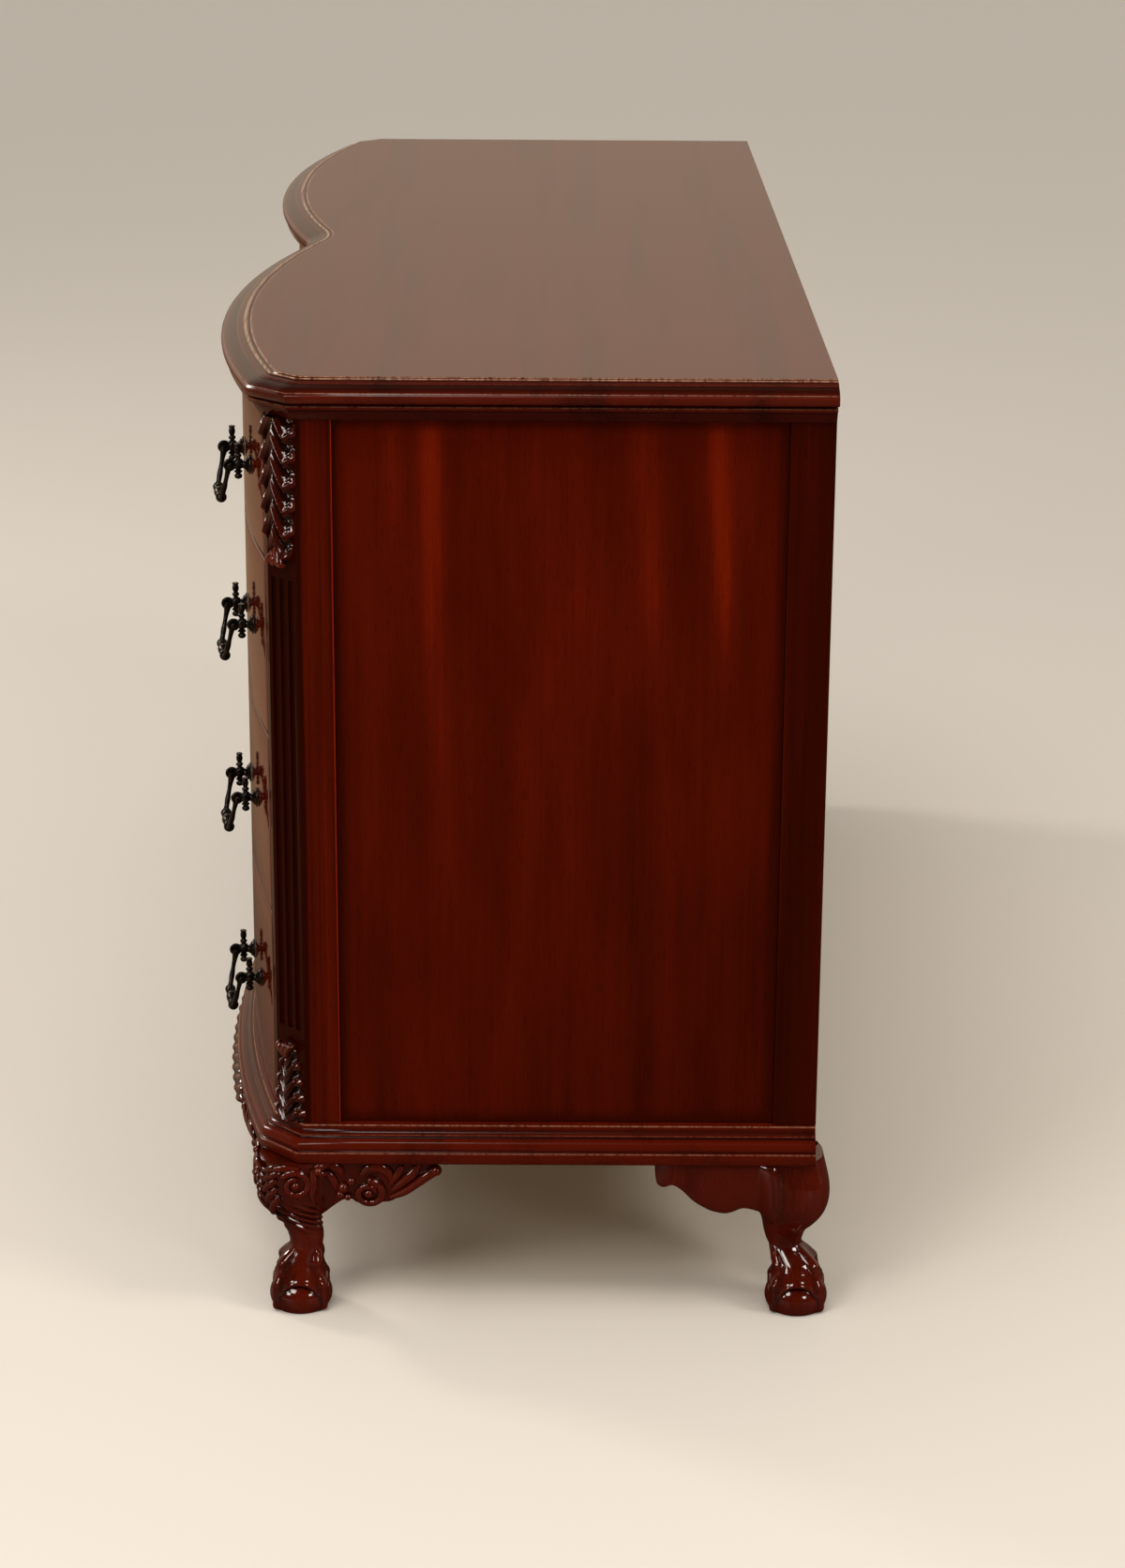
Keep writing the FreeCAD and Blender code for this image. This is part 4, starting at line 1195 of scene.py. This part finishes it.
# Lobes as (a, z, out) points with their radii, how flat they are, and beads as (a, z, radius) with their rise, in mm
KNEE_LOBES = (((2, 149, 0.2), (-8, 150, 0.8), (-18, 149, 1.2), (-26, 146, 0.6), (-31, 141, -0.8)),
              ((-15, 144, 0.2), (-19, 143.5, 1), (-24, 141, 1.2), (-29, 136, 0.4), (-32, 129, -1)),
              ((-18, 137, 0.2), (-21.5, 135.5, 1), (-25, 132, 1.2), (-29, 126, 0.4), (-31, 118, -1)),
              ((-18.5, 129, 0.2), (-21, 126.5, 1), (-24, 122, 1.2), (-27, 115, 0.4), (-28, 107, -1)),
              ((-16, 121, 0), (-18.5, 117.5, 0.8), (-21, 112, 0.8), (-23, 105, 0.2), (-23, 98, -1)))
KNEE_LOBE_RADIUS = (1.8, 3.4, 4, 3.2, 1.4)
BRACKET_LOBES = ((((16, 148.5, 0.5), (24, 149.5, 1.6), (32, 147, 2.2), (38, 142, 1.8), (40, 136, 0.5)),
                  (2.4, 4, 5, 4.4, 2.4)),
                 (((14, 147, 0.6), (15, 139, 1.6), (14.5, 130, 1.8), (13.5, 121, 1.4), (14, 112, 0.4)),
                  (2.4, 3.8, 3.6, 3, 1.6)),
                 (((20, 140, 0), (26, 139, 1.2), (31, 134, 1.6), (34, 126, 0.8), (35, 118, 0)),
                  (2, 3.6, 4.4, 3.8, 2)),
                 (((58, 137, 1.5), (64, 144, 2.6), (74, 146, 2.8), (82, 140, 2.4), (85, 131, 1)),
                  (3, 4.8, 5.4, 4.6, 2.4)),
                 (((84, 128, 0.5), (90, 137, 1.8), (95, 146, 1.4)), (2.6, 3.8, 3)),
                 (((86, 121, 0.5), (96, 131, 2.2), (105, 140, 2.2), (110, 148, 1)), (2.6, 4.4, 4.4, 2.8)),
                 (((84, 112.5, 0.5), (96, 119.5, 2), (108, 129, 2.6), (118, 137, 3), (125, 142, 2.4)),
                  (2.8, 4.2, 4.6, 4.8, 5)))
LOBE_FLAT = 0.8
BRACKET_BEADS = ((19, 145, 4.2), (48.5, 131, 4.4), (41, 124, 5.2), (38, 116.5, 4.2), (45, 113.5, 3.6), (126, 142, 5.2))
BEAD_RISE = 2.2
# Points along a scroll, how evenly it winds in, as a power, and the share of its length in which it swells from half
SCROLL_STEPS = 110
SCROLL_WIND = 0.8
SCROLL_SWELL = 0.05


def eyed_scroll(shell, place, centre, first, turns, outer, inner, thick, thin, rise, eye):
    """A scroll band that thins as it winds in to a round eye: its radius falls from outer to inner over the turns."""
    share = np.linspace(0, 1, SCROLL_STEPS)
    angle = math.radians(first) - share * turns * 2 * math.pi
    radius = outer + (inner - outer) * share**SCROLL_WIND
    line = stacked(centre[0] + radius * np.cos(angle), centre[1] + radius * np.sin(angle), rise)
    size = (thick + (thin - thick) * share) * smooth_step(share / SCROLL_SWELL + 1 / 2)
    laid_band(shell, place, line, size)
    bead(shell, place, *centre, eye, rise)


def carved_bracket(shell, place, top):
    """Front-leg bracket: a board with a scroll, beads and a fan of leaf lobes that ends in a curled tip."""
    bracket_board(shell, place, CARVED_BRACKET, CARVED_SWELL, top, GROUND_GLAZE_SHADE)
    eyed_scroll(shell, place, *BRACKET_SCROLL)
    for line, radius in BRACKET_LOBES:
        laid_ridge(shell, place, line, radius, flat=LOBE_FLAT)
    for a, z, radius in BRACKET_BEADS:
        bead(shell, place, a, z, radius, BEAD_RISE)


def knee_carving(shell, place):
    """A scroll with a raised eye on the knee, and lobes that sweep from it round the corner and down."""
    eyed_scroll(shell, place, *KNEE_SCROLL)
    for lobe in KNEE_LOBES:
        laid_ridge(shell, place, lobe, KNEE_LOBE_RADIUS, flat=LOBE_FLAT)


def front_leg_shell(foot_x, foot_y, top):
    """One carved front leg, in mm round its foot."""
    shell = Shell()
    leg_stem(shell, FRONT_STEM, FRONT_SIDE_LEAN, True)
    claw_foot(shell, FRONT_STEM, FRONT_SIDE_LEAN)
    for board, front in ((side_board, False), (bow_board(foot_x, foot_y), True)):
        place = face_placer(FRONT_STEM, FRONT_SIDE_LEAN, board, front)
        knee_carving(shell, place)
        carved_bracket(shell, place, top)
    return shell


# How far the rear brackets stand behind the foot's middle, and the crease angle of the legs in degrees
BACK_BOARD = 9.0
LEG_CREASE = 60.0


def rear_leg_shell(top):
    """One plain rear leg, in mm round its foot, drawn as a front one and turned to the back when placed."""
    shell = Shell()
    leg_stem(shell, REAR_STEM, REAR_SIDE_LEAN, False)
    claw_foot(shell, REAR_STEM, REAR_SIDE_LEAN)
    side = face_placer(REAR_STEM, REAR_SIDE_LEAN, side_board, False)
    bracket_board(shell, side, PLAIN_BRACKET, PLAIN_SWELL, top)
    behind = face_placer(REAR_STEM, REAR_SIDE_LEAN, lambda a, z: np.full(np.shape(a), BACK_BOARD), True)
    bracket_board(shell, behind, PLAIN_BRACKET, 0.0, top)
    return shell


def legs(finish):
    """All four legs, each one piece."""
    foot_x = HALF_WIDTH - FOOT_SIDE_INSET * MM
    front_y = FRONT_Y + FRONT_FOOT_SETBACK * MM
    rear_y = BACK_Y - REAR_FOOT_INSET * MM
    top = LEG_TOP_Z / MM
    for kind, one, foot_y, turn in (("front_leg", front_leg_shell(foot_x, front_y, top), front_y, 1),
                                    ("rear_leg", rear_leg_shell(top), rear_y, -1)):
        for side, sign in SIDES:
            leg = copies(one, lambda p: (p * MM * (1, turn, 1) + (foot_x, foot_y, 0)) * (sign, 1, 1))
            name = "%s_%s" % (kind, side)
            leg.build(name + "_dressed", finish, "case", "carved_mahogany", (name,), crease=LEG_CREASE)


# Pulls, worked out in mm round the face point in the middle of a pull: x along the face, -y out of it, z up

# Where a pull lies from its drawer front's end, how far out its spindle and eye stand, the eye's ring and wire, the
# pin through it with the places where it starts and ends, how far its head reaches over its end, and the nut's radius
PULL_END_INSET = 118.0
SPINDLE_OUT = 10.5
EYE_OUT = 18.0
EYE_RING = 4.3
EYE_WIRE = 1.6
PIN_RADIUS = 1.7
PIN_REACH = (30.0, 43.4)
PIN_HEAD_LAP = 1.2
NUT_RADIUS = 5.0
# Turned parts as (radius, distance along the axis), and the arm as points with their radii
PIN_HEAD = ((0, 0), (2.2, 0), (2.9, 0.7), (2.9, 1.2), (2, 2), (0, 2.2))
ROSETTE = ((9, 0), (9, 0.9), (8.3, 1.5), (7.2, 1.6), (6.8, 2.2), (7, 2.8), (6.4, 3.4), (5.2, 3.7), (4.4, 4.6),
           (3.6, 5.6), (3.2, 7), (3.4, 9), (3, 10.5))
SPINDLE = ((0, 19.2), (2.6, 19.2), (3, 18.7), (3, 18), (2.3, 17.4), (2.5, 16.6), (2.9, 15.4), (3, 13.6), (2.7, 12),
           (2.1, 11), (1.9, 10.4), (2.7, 9.7), (3.3, 8.7), (3.3, 7.7), (2.5, 6.8), (2, 6.2), (2.4, 5.6), (3.9, 4.6),
           (4.6, 3.2), (4.9, 1.2), (4.8, -0.8), (4.2, -2.4), (2.9, -3.6), (2.1, -4.2), (2.6, -4.8), (3.6, -5.5),
           (3.6, -6.5), (2.6, -7.2), (2, -7.8), (2.6, -8.4), (3.5, -9.4), (3.6, -10.6), (2.9, -11.9), (1.4, -12.7),
           (0, -12.9))
GRIP = ((0, 27), (2.6, 26.6), (3.4, 25.4), (3.2, 24), (2.7, 23.2), (3.4, 22.4), (4.8, 21.4), (5, 20.4), (4.2, 19.4),
        (3, 18.8), (3.2, 17.8), (4.2, 16.2), (4.5, 14.4), (4, 12.6), (3, 11.4), (3.2, 10.6), (4.4, 9.8), (4.6, 8.8),
        (3.6, 7.8), (3.4, 7), (4.4, 5.4), (5.1, 3), (5.3, 0))
ARM = ((33, 0, 1.5), (33.2, 0, -3), (32.6, 0, -9), (31, 0, -16), (29, 0, -23), (26.6, 0, -29), (24.6, 0, -33))
ARM_RADIUS = (2.6, 3.1, 2.3, 2.0, 2.6, 2.3, 2.8)
NUT = ((2, 0), (NUT_RADIUS, 0), (NUT_RADIUS, 4), (2, 4))
STUD = ((2, 0), (2, 5.2), (0, 5.6))
# Points round the parts of a pull, along an arm and round the wire of an eye, and the crease angle in degrees
PULL_TURNS = 18
NUT_SIDES = 6
STUD_TURNS = 10
ARM_STEPS = 26
ARM_TURNS = 12
PIN_TURNS = 12
EYE_TURNS = 22
WIRE_TURNS = 12
PULL_CREASE = 50.0


def pull_post(back_y):
    """One turned post with its rosette, spindle, eye, nut and stud end."""
    shell = Shell()
    turned(shell, ROSETTE, (0, 0, 0), (0, -1, 0), PULL_TURNS)
    turned(shell, SPINDLE, (0, -SPINDLE_OUT, 0), (0, 0, 1), PULL_TURNS)
    bend = np.linspace(0, 2 * math.pi, WIRE_TURNS)
    wire = np.stack((EYE_RING + EYE_WIRE * np.cos(bend), EYE_WIRE * np.sin(bend)), axis=1)
    turned(shell, wire, (0, -EYE_OUT, 0), (1, 0, 0), EYE_TURNS)
    turned(shell, NUT, (0, back_y, 0), (0, 1, 0), NUT_SIDES)
    turned(shell, STUD, (0, back_y, 0), (0, 1, 0), STUD_TURNS)
    return shell


def bail_shell():
    """One bail: two curved arms that thicken and thin, a ridged grip between them, and pins through the eyes."""
    half = Shell()
    tube(half, curve_through(ARM, ARM_STEPS), run_through(ARM_RADIUS, ARM_STEPS), ARM_TURNS, (0, 1, 0))
    turned(half, GRIP, (0, 0, -sizes().bail_drop / MM), (1, 0, 0), PULL_TURNS)
    turned(half, [(PIN_RADIUS, reach) for reach in PIN_REACH], (0, 0, 0), (1, 0, 0), PIN_TURNS)
    turned(half, PIN_HEAD, (PIN_REACH[1] - PIN_HEAD_LAP, 0, 0), (1, 0, 0), PIN_TURNS)
    whole = copies(half, unchanged, flipped)
    lean = sizes().bail_lean
    tip = np.array(((1, 0, 0), (0, math.cos(lean), math.sin(lean)), (0, -math.sin(lean), math.cos(lean))))
    return copies(whole, lambda p: p @ tip.T + (0, -EYE_OUT, 0))


def pull_places(row):
    """Face point and turn of the inner and outer pull of a right-hand drawer, in metres and radians."""
    low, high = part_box("drawer_front_%d_right" % row)
    bow_x, bow_y, radius, apart = plan_numbers()
    places = {}
    for which, x in zip(PULLS, (low.x + PULL_END_INSET * MM, high.x - PULL_END_INSET * MM)):
        turn = math.asin((x - bow_x) / radius)
        places[which] = (np.array((x, bow_y - radius * math.cos(turn), (low.z + high.z) / 2)), turn)
    return places


def put(shift, place, sign):
    """Turns local mm points into metres at a pull's place, with a shift along the pull, on one side."""
    point, turn = place
    spin = np.array(((math.cos(turn), -math.sin(turn), 0), (math.sin(turn), math.cos(turn), 0), (0, 0, 1)))

    def change(points):
        return ((points + (shift, 0, 0)) * MM @ spin.T + point) * (sign, 1, 1)
    return change


def pulls(finish):
    """Posts of every drawer as one piece each, and every bail as a piece of its own."""
    bow_x, bow_y, radius, apart = plan_numbers()
    half_spacing = sizes().post_spacing / MM / 2
    reach = radius / MM
    rear_reach = reach - sizes().front_thickness / MM
    post = pull_post(reach - math.sqrt(rear_reach**2 - (half_spacing + NUT_RADIUS)**2))
    bail = bail_shell()
    for row in ROWS:
        places = pull_places(row)
        for side, sign in SIDES:
            changes = []
            for which in PULLS:
                changes += [put(shift, places[which], sign) for shift in (-half_spacing, half_spacing)]
                name = "bail_%d_%s_%s" % (row, which, side)
                one = copies(bail, put(0.0, places[which], sign))
                one.build(name + "_dressed", finish, name, "dark_brass", (name,), crease=PULL_CREASE)
            name = "pull_posts_%d_%s" % (row, side)
            posts = copies(post, *changes)
            posts.build(name + "_dressed", finish, "drawer_%d_%s" % (row, side), "dark_brass", (name,),
                        crease=PULL_CREASE)


# Stage

# The photograph's camera: its place in metres, its turns, and its lens in mm
CAMERA_PLACE = (3.7114, 0.0239, 1.4634)
CAMERA_TILT = math.radians(17.890)
CAMERA_YAW = math.radians(0.2213)
CAMERA_ROLL = math.radians(0.3751)
CAMERA_LENS = 81.23
# The floor: its half width and how far in front of the case its shade in gloss fades, in metres, and its roughness
FLOOR_REACH = 14.0
FLOOR_FADE = 0.4
FLOOR_ROUGHNESS = 0.6


def camera_turn():
    """Rotation of the camera: looking along -X, turned by yaw, tipped down by tilt, rolled about its axis."""
    level = Vector((-math.cos(CAMERA_YAW), math.sin(CAMERA_YAW), 0))
    right = Vector((math.sin(CAMERA_YAW), math.cos(CAMERA_YAW), 0))
    up = Vector((0, 0, 1))
    ahead = math.cos(CAMERA_TILT) * level - math.sin(CAMERA_TILT) * up
    over = math.sin(CAMERA_TILT) * level + math.cos(CAMERA_TILT) * up
    rolled_right = math.cos(CAMERA_ROLL) * right + math.sin(CAMERA_ROLL) * over
    rolled_over = math.cos(CAMERA_ROLL) * over - math.sin(CAMERA_ROLL) * right
    return Matrix((rolled_right, rolled_over, -ahead)).transposed()


def photo_camera():
    """The camera at the photograph's angle."""
    data = bpy.data.cameras.new("photo_camera")
    data.lens = CAMERA_LENS
    camera = linked("photo_camera", data)
    camera.matrix_world = Matrix.Translation(CAMERA_PLACE) @ camera_turn().to_4x4()
    bpy.context.scene.camera = camera


def plain_floor():
    """A wide plain floor, pale and matt, that shows darker in gloss, most of all beside the case."""
    material, tree = new_finish("pale_floor")
    glossy = node(tree, "ShaderNodeLightPath").outputs["Is Glossy Ray"]
    place = node(tree, "ShaderNodeTexCoord").outputs["Object"]
    y = node(tree, "ShaderNodeSeparateXYZ", {0: place}).outputs[1]
    ahead = node(tree, "ShaderNodeMapRange", {"Value": y, "From Min": FRONT_Y, "From Max": FRONT_Y - FLOOR_FADE})
    mirrored = node(tree, "ShaderNodeMix", {0: ahead.outputs[0], MIX_FROM: tone_of("floor_shade"),
                                            MIX_TO: tone_of("floor_gloss")}, data_type="RGBA")
    tone = node(tree, "ShaderNodeMix", {0: glossy, MIX_FROM: tone_of("floor"), MIX_TO: mirrored.outputs[MIX_RESULT]},
                data_type="RGBA")
    shader = node(tree, "ShaderNodeBsdfPrincipled", {"Base Color": tone.outputs[MIX_RESULT],
                                                     "Roughness": FLOOR_ROUGHNESS})
    node(tree, "ShaderNodeOutputMaterial", {"Surface": shader.outputs[0]})
    corners = np.array([(-1, -1, 0), (1, -1, 0), (1, 1, 0), (-1, 1, 0)]) * FLOOR_REACH
    mesh = bpy.data.meshes.new("floor")
    mesh.from_pydata(corners.tolist(), [], [(0, 1, 2, 3)])
    mesh.materials.append(material)
    floor = linked("floor", mesh)


# Square lamps as (name, place, target, width, watts), in metres
LAMPS = (("lamp_left", (2.9, -1.6, 2.5), (0.6, -0.1, 0.4), 1.0, 28.0),
         ("lamp_right", (1.7, 2.6, 2.6), (0.6, 0.1, 0.4), 1.0, 38.0),
         ("lamp_front", (-1.6, -3.2, 2.4), (0.0, -0.2, 0.5), 0.7, 45.0),
         ("glint_left", (2.4, -2.0, 1.2), (0.7, -0.2, 0.3), 0.5, 8.0),
         ("glint_right", (2.8, 1.5, 1.2), (0.7, 0.0, 0.3), 0.5, 8.0),
         ("glint_above", (1.9, -0.4, 2.8), (0.7, -0.1, 0.3), 0.5, 7.0))
LAMP_TINT = (1.0, 0.94, 0.87)
# The broad light from above: strength, place, width and turn
SKY_LAMP = 1.5
SKY_LAMP_PLACE = (0.0, 0.0, 4.0)
SKY_LAMP_WIDTH = math.radians(60)
SKY_LAMP_TURN = (math.radians(12), math.radians(10), 0.0)
# The surround's level as light and to the eye, and in gloss: its far and near level, and the directions, as shares
# of a unit vector's x and z, between which it falls towards the near side and upwards
WORLD_LEVEL = 0.3
BACKDROP_LEVEL = 0.92
GLOSS_FAR = 0.86
GLOSS_NEAR = 0.04
GLOSS_FALL_X = (-0.7, 0.3)
GLOSS_FALL_Z = (0.4, 0.7)


def add_lamp(name, kind, place, turn, **settings):
    """Adds one lamp and returns it."""
    data = bpy.data.lights.new(name, kind)
    for key, value in settings.items():
        setattr(data, key, value)
    lamp = linked(name, data)
    lamp.location = place
    lamp.rotation_euler = turn
    return lamp


def soft_lights():
    """Soft studio light: a broad light from above that leaves no mark in gloss, and lamps at the sides that do."""
    for name, place, target, width, watts in LAMPS:
        turn = (Vector(target) - Vector(place)).to_track_quat("-Z", "Y").to_euler()
        add_lamp(name, "AREA", place, turn, shape="RECTANGLE", size=width, size_y=width, energy=watts, color=LAMP_TINT)
    broad = add_lamp("broad_light", "SUN", SKY_LAMP_PLACE, SKY_LAMP_TURN, energy=SKY_LAMP, angle=SKY_LAMP_WIDTH)
    broad.visible_glossy = False
    bpy.context.scene.view_settings.view_transform = "Standard"


def pale_surround():
    """The world: an even pale surround to the eye, dimmer as light, and in gloss bright only on the far side."""
    world = bpy.data.worlds.new("pale_surround")
    world.use_nodes = True
    tree = world.node_tree
    tree.nodes.clear()
    ray = node(tree, "ShaderNodeLightPath").outputs
    direction = node(tree, "ShaderNodeTexCoord").outputs["Generated"]
    axes = node(tree, "ShaderNodeSeparateXYZ", {0: direction}).outputs
    far = node(tree, "ShaderNodeMapRange", {"Value": axes[0], "From Min": GLOSS_FALL_X[0], "From Max": GLOSS_FALL_X[1],
                                            "To Min": GLOSS_FAR, "To Max": GLOSS_NEAR})
    low = node(tree, "ShaderNodeMapRange", {"Value": axes[2], "From Min": GLOSS_FALL_Z[0], "From Max": GLOSS_FALL_Z[1],
                                            "To Min": 1.0, "To Max": GLOSS_NEAR})
    gloss = node(tree, "ShaderNodeMath", {0: far.outputs[0], 1: low.outputs[0]}, operation="MULTIPLY")
    unseen = node(tree, "ShaderNodeMix", {"Factor": ray["Is Glossy Ray"], "A": WORLD_LEVEL, "B": gloss.outputs[0]})
    level = node(tree, "ShaderNodeMix", {"Factor": ray["Is Camera Ray"], "A": unseen.outputs[0], "B": BACKDROP_LEVEL})
    tint = node(tree, "ShaderNodeMix", {0: ray["Is Glossy Ray"], MIX_FROM: tone_of("backdrop"),
                                        MIX_TO: tone_of("room")}, data_type="RGBA")
    background = node(tree, "ShaderNodeBackground", {"Color": tint.outputs[MIX_RESULT], "Strength": level.outputs[0]})
    node(tree, "ShaderNodeOutputWorld", {"Surface": background.outputs[0]})
    bpy.context.scene.world = world


# Operators

class DRESSER_OT_mouldings(bpy.types.Operator):
    """Top board, bead moulding and base frame with their moulded edges"""
    bl_idname = "dresser.mouldings"
    bl_label = "Mouldings"

    def execute(self, context):
        top_board(finish_named("lacquered_mahogany_top"))
        wood = finish_named("lacquered_mahogany_lengthwise")
        moulded_frame("bead_moulding", BEAD_EDGE, TOP_UNDER_Z, wood)
        moulded_frame("base_frame", BASE_EDGE, BASE_TOP_Z, wood)
        return {"FINISHED"}


class DRESSER_OT_case_boards(bpy.types.Operator):
    """Finishes of the case boards, panels and drawers that keep the frame's own solids"""
    bl_idname = "dresser.case_boards"
    bl_label = "Case boards"

    def execute(self, context):
        for name in ("rear_posts", "centre_stile"):
            eased_node(name, finish_named("lacquered_mahogany_upright"))
        for side, sign in SIDES:
            eased_node("front_post_" + side, finish_named("fluted_mahogany_post"))
        eased_node("side_panels", finish_named("ribbon_mahogany_panel"))
        for name in ("back_panel", "drawer_rails", "drawer_runners", "centre_partition", "bottom_board"):
            eased_node(name, finish_named("planed_poplar"))
        for row in ROWS:
            for side, change in (("right", unchanged), ("left", flipped)):
                drawer_front(row, side, change, finish_named("lacquered_mahogany_front"))
                eased_node("drawer_box_%d_%s" % (row, side), finish_named("planed_oak"))
        return {"FINISHED"}


class DRESSER_OT_carving(bpy.types.Operator):
    """Leaves on the canted corners and the reeded strip under the base"""
    bl_idname = "dresser.carving"
    bl_label = "Carving"

    def execute(self, context):
        corner_leaves(finish_named("glazed_mahogany_carving"))
        gadroon_strip(finish_named("glazed_mahogany_carving"))
        return {"FINISHED"}


class DRESSER_OT_legs(bpy.types.Operator):
    """Carved front legs and plain rear legs, with their brackets"""
    bl_idname = "dresser.legs"
    bl_label = "Legs"

    def execute(self, context):
        legs(finish_named("glazed_mahogany_carving"))
        return {"FINISHED"}


class DRESSER_OT_pulls(bpy.types.Operator):
    """Turned posts and swinging bails of every drawer"""
    bl_idname = "dresser.pulls"
    bl_label = "Pulls"

    def execute(self, context):
        pulls(finish_named("patinated_brass"))
        return {"FINISHED"}


class DRESSER_OT_stage(bpy.types.Operator):
    """Floor, soft lights and camera"""
    bl_idname = "dresser.stage"
    bl_label = "Stage"

    def execute(self, context):
        plain_floor()
        soft_lights()
        pale_surround()
        photo_camera()
        return {"FINISHED"}


class DRESSER_PT_pieces(bpy.types.Panel):
    """Lists the dresser's pieces, sizes and colours"""
    bl_label = "Dresser"
    bl_idname = "DRESSER_PT_pieces"
    bl_space_type = "VIEW_3D"
    bl_region_type = "UI"
    bl_category = "Dresser"

    def draw(self, context):
        for operator in OPERATORS:
            self.layout.operator(operator.bl_idname)
        for group in (context.scene.dresser_sizes, context.scene.dresser_colours):
            for key in group.__annotations__:
                self.layout.prop(group, key)


OPERATORS = (DRESSER_OT_mouldings, DRESSER_OT_case_boards, DRESSER_OT_carving, DRESSER_OT_legs, DRESSER_OT_pulls,
             DRESSER_OT_stage)
CLASSES = (DresserSizes, DresserColours) + OPERATORS + (DRESSER_PT_pieces,)


def register():
    """Registers the classes and puts the properties on the scene."""
    for cls in CLASSES:
        bpy.utils.register_class(cls)
    bpy.types.Scene.dresser_sizes = bpy.props.PointerProperty(type=DresserSizes)
    bpy.types.Scene.dresser_colours = bpy.props.PointerProperty(type=DresserColours)


def unregister():
    """Takes the properties off the scene and unregisters the classes."""
    del bpy.types.Scene.dresser_sizes
    del bpy.types.Scene.dresser_colours
    for cls in reversed(CLASSES):
        bpy.utils.unregister_class(cls)


def main():
    register()
    bpy.ops.dresser.mouldings()
    bpy.ops.dresser.case_boards()
    bpy.ops.dresser.carving()
    bpy.ops.dresser.legs()
    bpy.ops.dresser.pulls()
    bpy.ops.dresser.stage()


if __name__ == "__main__":
    main()
